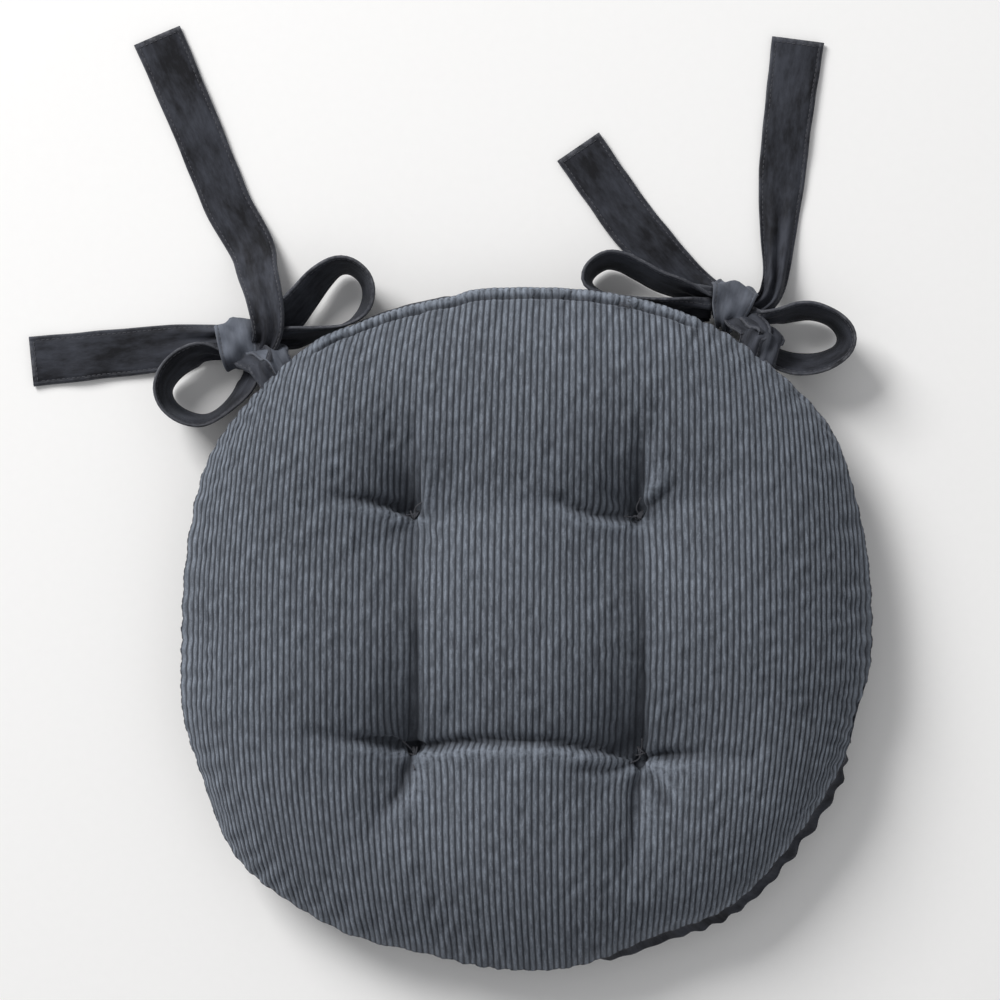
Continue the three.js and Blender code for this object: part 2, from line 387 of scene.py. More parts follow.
def square_from_disc(x, y):
    root = 2 * math.sqrt(2)
    plus = 2 + x * x - y * y
    minus = 2 - x * x + y * y
    u = np.sqrt(np.maximum(plus + root * x, 0)) - np.sqrt(np.maximum(plus - root * x, 0))
    v = np.sqrt(np.maximum(minus + root * y, 0)) - np.sqrt(np.maximum(minus - root * y, 0))
    return np.clip(u / 2, -1, 1), np.clip(v / 2, -1, 1)


def disc_grid(line, sizes, share=1.0):
    """Square grid of cut points that fills the outline, their way out from 0 to 1, and the rim."""
    u, v = np.meshgrid(line, line, indexing="ij")
    disc_x, disc_y = disc_from_square(u, v)
    reach = outline_radius(np.arctan2(disc_y, disc_x), sizes) * share
    rim = np.maximum(np.abs(u), np.abs(v)) > 0.9999
    return disc_x * reach, disc_y * reach, np.hypot(disc_x, disc_y), rim


def line_distance(x, y, points, spacing):
    """Distance to a curve, which side of it (+1 left of its direction) and how far along it."""
    curve = spline(np.array(points) * MM, spacing)
    best = np.full(x.shape, 1e9)
    side = np.ones(x.shape)
    share = np.zeros(x.shape)
    for index, (a, b) in enumerate(zip(curve[:-1], curve[1:])):
        step = b - a
        t = np.clip(((x - a[0]) * step[0] + (y - a[1]) * step[1]) / (step @ step), 0, 1)
        dx, dy = x - a[0] - t * step[0], y - a[1] - t * step[1]
        distance = np.hypot(dx, dy)
        nearer = distance < best
        best = np.where(nearer, distance, best)
        side = np.where(nearer, np.sign(step[0] * dy - step[1] * dx + 1e-12), side)
        share = np.where(nearer, (index + t) / (len(curve) - 1), share)
    return best, side, share


# Soft valleys between the tufts: points in mm, depth and reach in mm
VALLEYS = [
    ([[-65, 66], [-64, 0], [-65, -71]], 12.5, 21.0),
    ([[65, 66], [66, 0], [65, -71]], 12.5, 21.0),
    ([[-65, 66], [0, 72], [65, 66]], 6.0, 16.0),
    ([[-65, -71], [-18, -62], [20, -62], [65, -71]], 8.0, 13.0),
    ([[-65, 66], [-105, 74], [-140, 80]], 6.0, 15.0),
    ([[65, 66], [100, 78], [135, 88]], 6.0, 15.0),
    ([[-65, -71], [-110, -62], [-145, -60]], 7.0, 15.0),
    ([[65, -71], [105, -72], [145, -74]], 8.0, 15.0),
    ([[-65, 66], [-76, 110], [-86, 145]], 7.0, 16.0),
    ([[65, 66], [72, 110], [80, 145]], 6.0, 15.0),
    ([[-65, -71], [-82, -100], [-98, -128]], 8.0, 15.0),
    ([[65, -71], [64, -105], [58, -135]], 8.0, 15.0),
]

# Sharp folds in the corduroy: points in mm, depth and half width in mm, raised on the left if 1
FOLDS = [
    ([[-66, -69], [-40, -64], [-16, -62.5], [13, -63], [42, -68], [66, -76]], 4.6, 2.4, -1),
    ([[64, -78], [44, -79.5], [22, -79]], 2.2, 2.2, 1),
    ([[-64, -68], [-91, -63], [-119, -61]], 3.8, 2.4, 1),
    ([[-66, 67], [-92, 75], [-118, 77]], 3.8, 2.4, 1),
    ([[66, -74], [89, -72], [111, -70]], 3.4, 2.4, -1),
    ([[-67, -71], [-73, -92], [-88, -110]], 3.4, 3.0, 1),
    ([[64, -78], [61.5, -105], [60, -130]], 3.0, 3.0, 1),
    ([[62, 64], [34, 68], [3, 81]], 3.4, 2.4, 1),
    ([[64, 66], [80, 79], [92, 90]], 2.6, 2.6, 1),
    ([[67, -80], [76, -94], [86, -110]], 3.0, 3.0, 1),
    ([[-62, 70], [-62, 95], [-64, 118]], 1.8, 2.6, -1),
    ([[-62, -66], [-62, -20], [-63, 40]], 1.8, 3.0, 1),
    ([[66, 70], [66, 95], [65, 118]], 1.8, 2.6, -1),
    ([[67, -70], [67, -20], [66, 40]], 1.8, 3.0, 1),
]


def dimple(x, y, reach, sharpness=1.15):
    total = np.zeros_like(x)
    for tuft in TUFTS.values():
        distance = np.hypot(x - tuft[0], y - tuft[1])
        total = np.maximum(total, np.exp(-((distance / reach) ** sharpness)))
    return total


def fading(distance, reach, power):
    """1 up to a line and fading away beyond it."""
    return np.exp(-((np.maximum(distance, 0) / reach) ** power))


def pockets(x, y):
    """Where the cloth sinks behind and left of each tuft, with a sharp right and front edge."""
    front_slope = 0.22
    total = np.zeros_like(x)
    for tuft in TUFTS.values():
        left = tuft[0] + 3 * MM - x
        back = y - tuft[1] + 2 * MM + front_slope * (x - tuft[0])
        inside = smooth_step(left, -1.5 * MM, 4.5 * MM) * smooth_step(back, -1.5 * MM, 4 * MM)
        total = np.maximum(total, inside * fading(left, 22 * MM, 1.5) * fading(back, 38 * MM, 1.5))
    return total


# The two long creases, by how far they are right of the pad's middle
LONG_CREASES = (-62 * MM, 67 * MM)


def crease_shade(x, y):
    """Painted shade down the left of the two long creases, on the side that slopes away from the
    light.
    """
    total = np.zeros_like(x)
    between = smooth_step(y, -80 * MM, -60 * MM) * (1 - smooth_step(y, 50 * MM, 66 * MM))
    for middle in LONG_CREASES:
        left = middle - x
        beside = smooth_step(left, -1 * MM, 2 * MM) * fading(left, 14 * MM, 1.3)
        total = np.maximum(total, beside * between)
    return total


def crown(r, flatness=2.3, roundness=0.56):
    return np.clip(1 - r**flatness, 0, 1) ** roundness


# The cloth falls off faster on the right of a valley's direction than on its left
VALLEY_RIGHT = 1.35
VALLEY_LEFT = 0.8


def runs_outward(points):
    """True for a short line that ends well out to one side, which fades out on its way."""
    return len(points) == 3 and abs(points[-1][0]) > 70


def stuffed_top(x, y, r, sizes):
    """Height over the edge seam at which the top cloth starts."""
    high = (PAD_HEIGHT - SEAM_HEIGHT) * crown(r)
    inside = smooth_step(1 - r, 0.02, 0.25)
    for points, depth, reach in VALLEYS:
        distance, side, share = line_distance(x, y, points, 12 * MM)
        distance = distance * np.where(side < 0, VALLEY_RIGHT, VALLEY_LEFT)
        fade = 1 - smooth_step(share, 0.55, 1.0) if runs_outward(points) else 1
        high = high - inside * fade * depth * MM * np.exp(-((distance / (reach * MM)) ** 1.15))
    pull = 0.5 * dimple(x, y, sizes.tuft_reach) + 0.5 * dimple(x, y, sizes.tuft_reach * 0.45)
    high = high * (1 - pull) + sizes.tuft_floor * pull
    pocket_depth = 7.0 * MM
    most = 0.34 * high
    return high - np.minimum(pocket_depth * pockets(x, y), most)


def stuffed_under(x, y, r):
    """Depth under the edge seam at which the bottom cloth starts."""
    deep = SEAM_HEIGHT * crown(r, 3.0, 0.6)
    return -deep * (1 - 0.45 * dimple(x, y, 15 * MM))


SIM_POINTS = 68
SIM_FRAMES = 16
CLOTH = {
    "quality": 6,
    "mass": 0.003,
    "tension_stiffness": 30,
    "compression_stiffness": 30,
    "shear_stiffness": 8,
    "bending_stiffness": 0.4,
    "tension_damping": 15,
    "compression_damping": 15,
    "shear_damping": 8,
    "bending_damping": 1,
    "air_damping": 3,
    "use_pressure": True,
    "vertex_group_mass": "held",
    "pin_stiffness": 5,
}
_cover = {}


def settle_cover(sizes):
    """The two panels sewn together and blown up with stuffing, as grids of points (top, under)."""
    if _cover:
        return _cover
    x, y, r, rim = disc_grid(np.linspace(-1, 1, SIM_POINTS), sizes)
    top = np.stack([x, y, stuffed_top(x, y, r, sizes)], -1)
    under = np.stack([x, y, stuffed_under(x, y, r)], -1)
    top[rim, 2] = 0
    under[rim, 2] = 0
    top, under = run_cloth(top, under, rim, sizes)
    lowest = -SEAM_HEIGHT * 1.6
    under[..., 2] = np.maximum(under[..., 2], lowest)
    _cover["top"] = top
    _cover["under"] = under
    return _cover


def cloth_object(start, faces, ease):
    """The cover as an object whose cloth was cut larger than it starts."""
    mesh = bpy.data.meshes.new("cover_cloth")
    mesh.from_pydata(start.tolist(), [], faces.tolist())
    cover = bpy.data.objects.new("cover_cloth", mesh)
    bpy.context.scene.collection.objects.link(cover)
    cover.shape_key_add(name="Basis")
    cut = cover.shape_key_add(name="cut_flat")
    flat = start * np.array([ease, ease, 0])
    cut.data.foreach_set("co", flat.astype(np.float32).ravel())
    cut.value = 0
    return cover, cut


def run_cloth(top, under, rim, sizes):
    """Lets the cover settle as cloth over its stuffing, held at the edge seam and the tufts."""
    top_ids, under_ids = shared_rim_ids(rim)
    start = np.concatenate([top.reshape(-1, 3), under[~rim]])
    rng = np.random.default_rng(7)
    free = np.ones(len(start), bool)
    free[top_ids[rim]] = False
    start[free, 2] += rng.normal(0, 0.5 * MM, free.sum())
    cover, cut = cloth_object(start, closed_faces(under_ids), sizes.ease)
    held = cover.vertex_groups.new(name="held")
    held.add([int(i) for i in top_ids[rim]], 1.0, "REPLACE")
    for tuft in TUFTS.values():
        distance = np.hypot(top[..., 0] - tuft[0], top[..., 1] - tuft[1])
        place = np.unravel_index(np.argmin(distance), distance.shape)
        held.add([int(top_ids[place]), int(under_ids[place])], 1.0, "REPLACE")
    cloth = cover.modifiers.new("Cloth", "CLOTH")
    for key, value in CLOTH.items():
        setattr(cloth.settings, key, value)
    cloth.settings.uniform_pressure_force = sizes.stuffing_pressure
    cloth.settings.effector_weights.gravity = 0
    cloth.settings.rest_shape_key = cut
    cloth.collision_settings.use_collision = False
    cloth.point_cache.frame_start = 1
    cloth.point_cache.frame_end = SIM_FRAMES
    scene = bpy.context.scene
    for number in range(1, SIM_FRAMES + 1):
        scene.frame_set(number)
    settled = cover.evaluated_get(bpy.context.evaluated_depsgraph_get()).to_mesh()
    points = np.empty(len(settled.vertices) * 3, np.float32)
    settled.vertices.foreach_get("co", points)
    points = points.reshape(-1, 3).astype(float)
    scene.frame_set(1)
    bpy.data.objects.remove(cover)
    return points[top_ids], points[under_ids]


def sample(grid, u, v):
    """Smooth values of a square grid of points at u, v from -1 to 1."""
    last = grid.shape[0] - 1

    def weights(place):
        whole = np.clip(np.floor(place).astype(int), 0, last - 1)
        t = place - whole
        cubic = [
            -0.5 * t + t**2 - 0.5 * t**3,
            1 - 2.5 * t**2 + 1.5 * t**3,
            0.5 * t + 2 * t**2 - 1.5 * t**3,
            -0.5 * t**2 + 0.5 * t**3,
        ]
        return whole, cubic

    row, row_weights = weights((u + 1) / 2 * last)
    column, column_weights = weights((v + 1) / 2 * last)
    total = np.zeros(u.shape + (grid.shape[-1],))
    padded = np.pad(grid, ((1, 1), (1, 1), (0, 0)), mode="reflect", reflect_type="odd")
    for i in range(4):
        for j in range(4):
            weight = (row_weights[i] * column_weights[j])[..., None]
            total += weight * padded[row + i, column + j]
    return total


FRONT_RIGHT_SHIFT = 5.0 * MM
BACK_SHIFT = 3.0 * MM
# The cover was closed after stuffing between these two directions, in degrees
CLOSED_FROM = 61
CLOSED_TO = 128


def edge_shift(angle):
    """How far in from the outline the top's edge seam runs, where the underside shows past it."""
    turn = np.degrees(angle)
    front_right = smooth_step(turn, -88, -70) * (1 - smooth_step(turn, -28, -14))
    back = smooth_step(turn, 98, 104) * (1 - smooth_step(turn, 118, 126))
    return FRONT_RIGHT_SHIFT * front_right + BACK_SHIFT * back


def edge_gathers(angle, sizes):
    """The uneven gathers along the edge seam: how far each draws the cloth, and its phase."""
    count = round(math.pi * (PAD_WIDTH + PAD_DEPTH) / 2 / sizes.scallop_pitch)
    phase = count * angle + 3.5 * np.sin(5 * angle + 1) + 2.5 * np.sin(9 * angle + 2.2)
    strength = 0.55 + 0.45 * np.sin(7 * angle + 0.6) * np.sin(11 * angle + 2.1)
    strength = strength * (1 - 0.75 * tie_span(angle))
    return np.sin(phase) * strength * sizes.scallop_depth, phase


def cover_points(x, y, under, sizes):
    """Where cut points (x, y) of the top or bottom panel lie on the stuffed pad, and r."""
    cover = settle_cover(sizes)
    angle = np.arctan2(y, x)
    edge = outline_radius(angle, sizes)
    r = np.clip(np.hypot(x, y) / edge, 0, 1)
    u, v = square_from_disc(r * np.cos(angle), r * np.sin(angle))
    points = sample(cover["under" if under else "top"], u, v)
    inward = (1 - r) * edge
    gather, phase = edge_gathers(angle, sizes)
    outward = np.stack([np.cos(angle), np.sin(angle)], -1)
    near_rim = np.exp(-inward / (6 * MM))
    shift = gather * near_rim - edge_shift(angle) * np.exp(-inward / (20 * MM))
    if under:
        bulge = bell(inward - 5.5 * MM, 4.5 * MM) * (1 - np.exp(-inward / (2 * MM)))
        puckers = 3.2 * gather * smooth_step(edge_shift(angle), 0, 4 * MM)
        shift = shift + (2.4 * edge_shift(angle) + puckers) * bulge
    points[..., :2] += outward * shift[..., None]
    lift = 1.5 * gather * bell(inward - 9 * MM, 11 * MM) * smooth_step(inward, 0, 5 * MM)
    points[..., 2] += -lift if under else lift
    rim_rise = 0.9 * MM * np.sin(phase + 1.2) * near_rim
    points[..., 2] += rim_rise + SEAM_HEIGHT
    if under:
        soft = 1.5 * MM
        points[..., 2] = (points[..., 2] + np.sqrt(points[..., 2] ** 2 + soft**2)) / 2
    return points, r


def grid_normals(points):
    """Unit normals of a grid of points."""
    rows = np.gradient(points, axis=0)
    columns = np.gradient(points, axis=1)
    return unit(np.cross(rows, columns))


def tie_span(angle):
    """1 along the back edge between the two ties, where the cover was closed after stuffing."""
    turn = np.degrees(angle)
    opened = smooth_step(turn, CLOSED_FROM - 1, CLOSED_FROM + 2)
    return opened * (1 - smooth_step(turn, CLOSED_TO - 2, CLOSED_TO + 1))


def wale_grid(columns, rows, sizes):
    """Cut points in columns that follow the wales, which curve with the outline at both sides."""
    left_corner = math.radians(27)
    right_corner = math.radians(17)
    across = np.linspace(-1, 1, columns)
    across = across * (1.06 - 0.06 * across**2)
    fine = rows // 6
    fine_from = 0.93
    coarse_rows = np.linspace(-1, fine_from, rows - fine)
    along = np.concatenate([coarse_rows, np.linspace(fine_from, 1, fine + 1)[1:]])

    def rim(angle):
        reach = outline_radius(angle, sizes)
        return np.stack([reach * np.cos(angle), reach * np.sin(angle)], -1)

    right = rim(right_corner * along)
    left = rim(math.pi - left_corner * along)

    def cross_edge(way, left_end, right_end):
        angles = np.linspace(right_corner, math.pi - left_corner, 2000) * way
        places = rim(angles)
        wanted = left_end[0] + (right_end[0] - left_end[0]) * (across + 1) / 2
        return rim(np.interp(wanted, places[::-1, 0], angles[::-1]))

    back = cross_edge(1, left[-1], right[-1])
    front = cross_edge(-1, left[0], right[0])
    s = ((across + 1) / 2)[:, None, None]
    t = ((along + 1) / 2)[None, :, None]
    grid = (1 - t) * front[:, None] + t * back[:, None] + (1 - s) * left[None] + s * right[None]
    grid = grid - (1 - s) * ((1 - t) * left[0] + t * left[-1])
    grid = grid - s * ((1 - t) * right[0] + t * right[-1])
    return grid[..., 0], grid[..., 1]


PER_WALE = 4
WALE_PROFILE = np.array([0.0, 0.82, 1.0, 0.82])
TOP_ROWS = 186
LIP_GROOVE = 4.6 * MM
LIP_ROLL = 2.2 * MM


def fold_sink(x, y):
    """How deep the sharp folds lie under the cloth beside them, in metres."""
    sink = np.zeros_like(x)
    for line, depth, width, raised in FOLDS:
        distance, side, share = line_distance(x, y, line, 5 * MM)
        fade = 1 - smooth_step(share, 0.45, 1.0) if len(line) == 3 else 1
        reach = width * MM
        groove = np.exp(-((distance / reach) ** 1.4))
        lip = bell(distance - 2.6 * reach, 1.6 * reach) * (side == raised)
        sink = sink + fade * depth * MM * (groove - 0.4 * lip)
    return sink


def make_top_panel(sizes, material):
    """The corduroy top, with every rib standing up from the cloth."""
    wales = int(round(PAD_WIDTH / sizes.wale_pitch))
    columns = wales * PER_WALE + 1
    x, y = wale_grid(columns, TOP_ROWS, sizes)
    points, r = cover_points(x, y, False, sizes)
    angle = np.arctan2(y, x)
    inward = (1 - r) * outline_radius(angle, sizes)
    normals = grid_normals(points)
    smooth = 1 - smooth_step(r, 0.985, 1.0)
    up = np.zeros_like(normals)
    up[..., 2] = 1
    normals = unit(normals * smooth[..., None] + up * (1 - smooth[..., None]) * 0.5 + normals * 0.3)
    closing = tie_span(angle)
    groove = bell(inward - LIP_GROOVE, 0.9 * MM)
    roll = bell(inward - LIP_ROLL, 1.5 * MM)
    sink = fold_sink(x, y) + closing * MM * (2.2 * groove - 1.5 * roll)
    crest = WALE_PROFILE[np.arange(columns) % PER_WALE][:, None]
    crush = 0.8 + 0.25 * wobble(y + x * 7.3, 5, 0.045, 7)
    flattened = 1 - 0.45 * smooth_step(r, 0.96, 1.0) * (1 - closing)
    relief = sizes.wale_relief * crest * crush * flattened * (1 + 0.5 * closing * roll)
    pocket = pockets(x, y)
    points = points + normals * (relief - sink - 2.6 * MM * pocket)[..., None]
    cloth = np.stack([x, y, np.zeros_like(x)], -1).reshape(-1, 3)
    cloth[:, 0] = np.repeat(np.arange(columns) / PER_WALE * sizes.wale_pitch, TOP_ROWS)
    # Painted shade: the shade attribute darkens the corduroy in the folds, in the closing groove,
    # round each tuft, in the pockets behind the tufts and down the left of the long creases.
    tuft_shade = dimple(x, y, 9 * MM, 1.4)
    shade = 0.5 * closing * groove + sink / MM / 3.2
    shade = shade + 1.2 * tuft_shade + 1.05 * pocket + 0.5 * crease_shade(x, y)
    # Wear and painted highlight: paler on the raised lips beside the folds and along the closing roll.
    wear_and_highlight = np.clip(-sink / MM * 0.5, 0, 1) + closing * roll * 0.8
    attributes = {
        "cloth": cloth,
        "crest": np.broadcast_to(crest, x.shape).ravel(),
        "shade": np.clip(shade, 0, 1).ravel(),
        "wear_and_highlight": np.clip(wear_and_highlight, 0, 1).ravel(),
    }
    faces = grid_faces(columns, TOP_ROWS)
    points = points.reshape(-1, 3)
    piece = new_piece("top_panel_corduroy", points, faces, material, attributes)
    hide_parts("top_panel")
    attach(piece, "pad")
    return piece


UNDER_POINTS = 150
FIBRE_POINTS = 72


def make_bottom_panel(sizes, material):
    """The velvet underside, flat where it rests, drawn up at the tufts and gathered at the edge."""
    widest = math.pi / 2 * 0.82
    line = np.sin(np.linspace(-1, 1, UNDER_POINTS) * widest) / math.sin(widest)
    x, y, _, _ = disc_grid(line, sizes)
    points, r = cover_points(x, y, True, sizes)
    wrinkle = wobble(x + 0.6 * y, 41, 0.05) * wobble(y - 0.4 * x, 42, 0.06)
    points[..., 2] += 0.7 * MM * wrinkle * smooth_step(1 - r, 0.03, 0.12)
    points[..., 2] = np.maximum(points[..., 2], 0.2 * MM)
    cloth = np.stack([x, y, np.zeros_like(x)], -1).reshape(-1, 3)
    worn = smooth_step(r, 0.965, 1.0)
    attributes = {"cloth": cloth, "wear_and_highlight": (0.15 * worn).ravel()}
    faces = grid_faces(UNDER_POINTS, UNDER_POINTS, turned=True)
    points = points.reshape(-1, 3)
    piece = new_piece("bottom_panel_velvet", points, faces, material, attributes)
    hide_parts("bottom_panel")
    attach(piece, "pad")
    return piece


def make_fibre_fill(sizes, material):
    """The stuffing, a closed body just inside the cover."""
    x, y, _, rim = disc_grid(np.linspace(-1, 1, FIBRE_POINTS), sizes, 0.93)
    top, _ = cover_points(x, y, False, sizes)
    under, _ = cover_points(x, y, True, sizes)
    gap = top[..., 2] - under[..., 2]
    clear = np.minimum(6.5 * MM, gap * 0.42)
    near_tufts = dimple(x, y, 20 * MM, 2)
    top[..., 2] -= np.minimum(clear + 9 * MM * near_tufts, gap * 0.6)
    under[..., 2] += np.minimum(2.5 * MM, gap * 0.3)
    top[rim] = (top[rim] + under[rim]) / 2
    lumps = 0.5 * MM * wobble(x + 0.7 * y, 51, 0.03) * wobble(y - x, 52, 0.04)
    top[..., 2] += lumps * ~rim
    _, under_ids = shared_rim_ids(rim)
    points = np.concatenate([top.reshape(-1, 3), under[~rim]])
    faces = closed_faces(under_ids)
    piece = new_piece("fibre_stuffing", points, faces, material, {"cloth": points})
    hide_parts("fibre_fill")
    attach(piece, "pad")
    return piece


# Stitches and threads


# A stitch from end to end: share of its length, and share of its thickness
STITCH_SHAPE = [(-0.5, 0.35), (-0.3, 1.0), (0.3, 1.0), (0.5, 0.35)]
STITCH_SIDES = 5


def rod_faces(rings, sides, start=0):
    """Faces of a closed rod whose rings of points follow each other from point start."""
    faces = []
    for ring in range(rings - 1):
        for k in range(sides):
            a = start + ring * sides + k
            b = start + ring * sides + (k + 1) % sides
            faces.append((a, b, b + sides, a + sides))
    last = start + (rings - 1) * sides
    faces.append(tuple(start + k for k in range(sides))[::-1])
    faces.append(tuple(last + k for k in range(sides)))
    return faces


def at(place, along, columns):
    """The values of some columns at a place along a line."""
    return np.array([np.interp(place, along, column) for column in columns.T])


def stitch_mesh(runs, length, pitch, radius):
    """Vertices and faces of stitches along runs of (points, normals)."""
    vertices = []
    faces = []
    for points, normals in runs:
        along = path_lengths(points)
        for place in np.arange(pitch / 2, along[-1] - length / 2, pitch):
            middle = at(place, along, points)
            normal = unit(at(place, along, normals))
            direction = unit(at(place + length / 2, along, points) - middle)
            side = unit(np.cross(direction, normal))
            faces += rod_faces(len(STITCH_SHAPE), STITCH_SIDES, len(vertices))
            for share, swell in STITCH_SHAPE:
                centre = middle + direction * share * length + normal * radius * 0.5 * swell
                for k in range(STITCH_SIDES):
                    turn = 2 * math.pi * k / STITCH_SIDES
                    spread = side * math.cos(turn) + normal * math.sin(turn)
                    vertices.append(centre + spread * radius * swell)
    return np.array(vertices), faces


def rod_mesh(points, radius, sides=8, taper=None):
    """Vertices and faces of a closed round rod through the points."""
    points = np.asarray(points, float)
    tangents = unit(np.gradient(points, axis=0))
    not_along = np.array([0.13, 0.21, 1.0])
    first = unit(np.cross(tangents, not_along))
    second = np.cross(tangents, first)
    turns = np.linspace(0, 2 * math.pi, sides, endpoint=False)
    swell = np.ones(len(points)) if taper is None else np.asarray(taper)
    rings = (
        points[:, None]
        + first[:, None] * (np.cos(turns)[None, :, None] * radius * swell[:, None, None])
        + second[:, None] * (np.sin(turns)[None, :, None] * radius * swell[:, None, None])
    )
    return rings.reshape(-1, 3), rod_faces(len(points), sides)


def thread_piece(name, mesh, material):
    """A piece of sewing thread from its vertices and faces."""
    vertices, faces = mesh
    return new_piece(name, vertices, faces, material, {"cloth": vertices})


def joined(parts):
    """Several (vertices, faces) as one."""
    vertices = []
    faces = []
    start = 0
    for part_vertices, part_faces in parts:
        vertices.append(part_vertices)
        faces += [tuple(start + i for i in face) for face in part_faces]
        start += len(part_vertices)
    return np.concatenate(vertices), faces


def edge_line(sizes, angles, inset, lift):
    """Points just inside the edge seam at those angles, on the top cloth."""
    edge = outline_radius(angles, sizes)
    x = np.cos(angles) * (edge - inset)
    y = np.sin(angles) * (edge - inset)
    points, _ = cover_points(x, y, False, sizes)
    points[:, 2] += lift
    return points


def make_edge_seam(sizes, material):
    """The stitches that join the panels, and those that close the back edge."""
    whole = np.radians(np.linspace(CLOSED_TO - 360, CLOSED_FROM, 740))
    line = edge_line(sizes, whole, 0.2 * MM, -0.1 * MM)
    outward = np.stack([np.cos(whole), np.sin(whole), np.zeros_like(whole)], -1)
    stitches = stitch_mesh([(line, outward)], 3.4 * MM, 4.4 * MM, 0.35 * MM)
    seam = thread_piece("edge_seam_stitches", stitches, material)
    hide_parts("edge_seam_thread")
    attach(seam, "pad")
    back = np.radians(np.linspace(CLOSED_FROM, CLOSED_TO, 230))
    line = edge_line(sizes, back, LIP_GROOVE, -1.9 * MM)
    up = np.zeros_like(line)
    up[:, 2] = 1
    stitches = stitch_mesh([(line, up)], 2.6 * MM, 3.4 * MM, 0.4 * MM)
    closing = thread_piece("closing_seam_stitches", stitches, material)
    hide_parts("closing_seam_thread")
    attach(closing, "pad")


def make_back_tack(sizes, material):
    """The short frayed end where the closing seam was fastened off."""
    rng = np.random.default_rng(17)
    angle = np.radians(np.array([73.0]))
    centre = edge_line(sizes, angle, 4.5 * MM, 3.0 * MM)[0]
    share = np.linspace(0, 1, 6)[:, None]
    parts = []
    for _ in range(26):
        start = centre + rng.normal(0, 1.4 * MM, 3) * np.array([1.3, 1, 0.3])
        lean = rng.normal(0, 1, 3) * np.array([1, 0.8, 0.35]) + np.array([0, 0, 0.35])
        curl = rng.normal(0, 0.5, 3)
        reach = rng.uniform(1.5, 3.6) * MM
        points = start + unit(lean) * share * reach + curl * share**2 * 1.2 * MM
        parts.append(rod_mesh(points, 0.17 * MM, 5, np.linspace(1, 0.5, 6)))
    piece = thread_piece("closing_seam_back_tack", joined(parts), material)
    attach(piece, "pad")


def flat_direction(heading):
    """The direction at that angle, and the one to its left."""
    along = np.array([math.cos(heading), math.sin(heading), 0])
    return along, np.array([-along[1], along[0], 0])


def tied_thread(rng, face, way):
    """Rods of a knot and its two cut ends on the pad's upper (way 1) or lower (way -1) face."""
    up = np.array([0, 0, 1])
    rods = []
    turn = rng.uniform(0, math.pi)
    for wrap in range(4):
        along, left = flat_direction(turn + rng.normal(0, 0.28) + (1.3 if wrap == 3 else 0))
        share = np.linspace(-1, 1, 11)[:, None]
        arch = way * up * 1.9 * MM * (1 - share**2)
        offset = left * (wrap - 1.2) * 0.8 * MM
        rods.append(rod_mesh(face + offset + along * share * 3.0 * MM + arch, 0.5 * MM, 7))
    for end in range(2):
        along, left = flat_direction(turn + end * 2.4 + rng.uniform(-0.5, 0.5))
        share = np.linspace(0, 1, 14)[:, None]
        sway = left * np.sin(share * 4) * rng.uniform(-1, 1) * 1.6 * MM
        reach = rng.uniform(7, 10) * MM
        rise = up * (1.2 * MM + 5.5 * MM * share**1.3)
        if way < 0:
            rise = up * (-0.6 * MM - 2.2 * MM * share)
        rods.append(rod_mesh(face + along * share * reach + sway + rise, 0.42 * MM, 7))
    return rods


def make_tufts(sizes, material):
    """A tied thread through the pad at each tuft, its knot and cut ends on both faces."""
    for number, (place, tuft) in enumerate(TUFTS.items()):
        rng = np.random.default_rng(60 + number)
        x, y = np.array([tuft[0]]), np.array([tuft[1]])
        top = cover_points(x, y, False, sizes)[0][0]
        under = cover_points(x, y, True, sizes)[0][0]
        parts = [rod_mesh(np.linspace(under, top, 12), 0.7 * MM, 8)]
        parts += tied_thread(rng, top, 1)
        parts += tied_thread(rng, under, -1)
        vertices, faces = joined(parts)
        vertices[:, 2] = np.maximum(vertices[:, 2], 0.1 * MM)
        piece = thread_piece(f"{place}_tuft_tie", (vertices, faces), material)
        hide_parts(TUFT_NODES[place])
        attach(piece, "pad")


# Straps

# Places across a strap, from one edge at -1 to the other at 1, closer together at the edges
HALF_ACROSS = [0.1, 0.3, 0.5, 0.68, 0.78, 0.82, 0.86, 0.92, 0.975, 1]
ACROSS = np.array([-share for share in HALF_ACROSS[::-1]] + HALF_ACROSS)
STITCH_LINES = (4, 15)
# Where across the stitches draw the strap in, and where its edge starts to round off
SEWN_AT = 0.82
ROUND_FROM = 0.9
ROUND_OVER = 0.1


def strap_profile(thickness):
    """Half the strap's thickness at each place across."""
    s = ACROSS[None, :]
    rounded = np.clip(np.abs(s) - ROUND_FROM, 0, 1) / ROUND_OVER
    rounded = np.sqrt(np.clip(1 - rounded**2, 0, 1))
    sewn = 1 - 0.34 * bell(np.abs(s) - SEWN_AT, 0.035)
    puffed = 1 + 0.12 * (1 - s**2)
    return thickness / 2 * rounded * sewn * puffed


def strap_creases(along, widths, seed, gather, full_width):
    """How far the strap's middle layer stands off flat: pleats, ripples, twist and creases."""
    s = ACROSS[None, :]
    along = along[:, None]
    narrow = np.clip(1 - widths / full_width, 0, 1)[:, None]
    drift = wobble(along, seed, 0.05)
    pleat = gather * narrow * 7.5 * MM * np.sin(2 * math.pi * 1.15 * s + 1.5 * drift + seed)
    ripple = 0.35 * MM * wobble(along, seed + 1, 0.035) * np.cos(math.pi * s * 0.8)
    twist = 0.4 * MM * wobble(along, seed + 2, 0.06) * s
    offset = pleat + ripple + twist
    if gather < 0.5:
        creased = np.sin(3.4 * s + 330 * along + seed) + np.sin(4.1 * s - 410 * along - seed)
        offset = offset + 2.6 * gather * MM * creased
    return offset


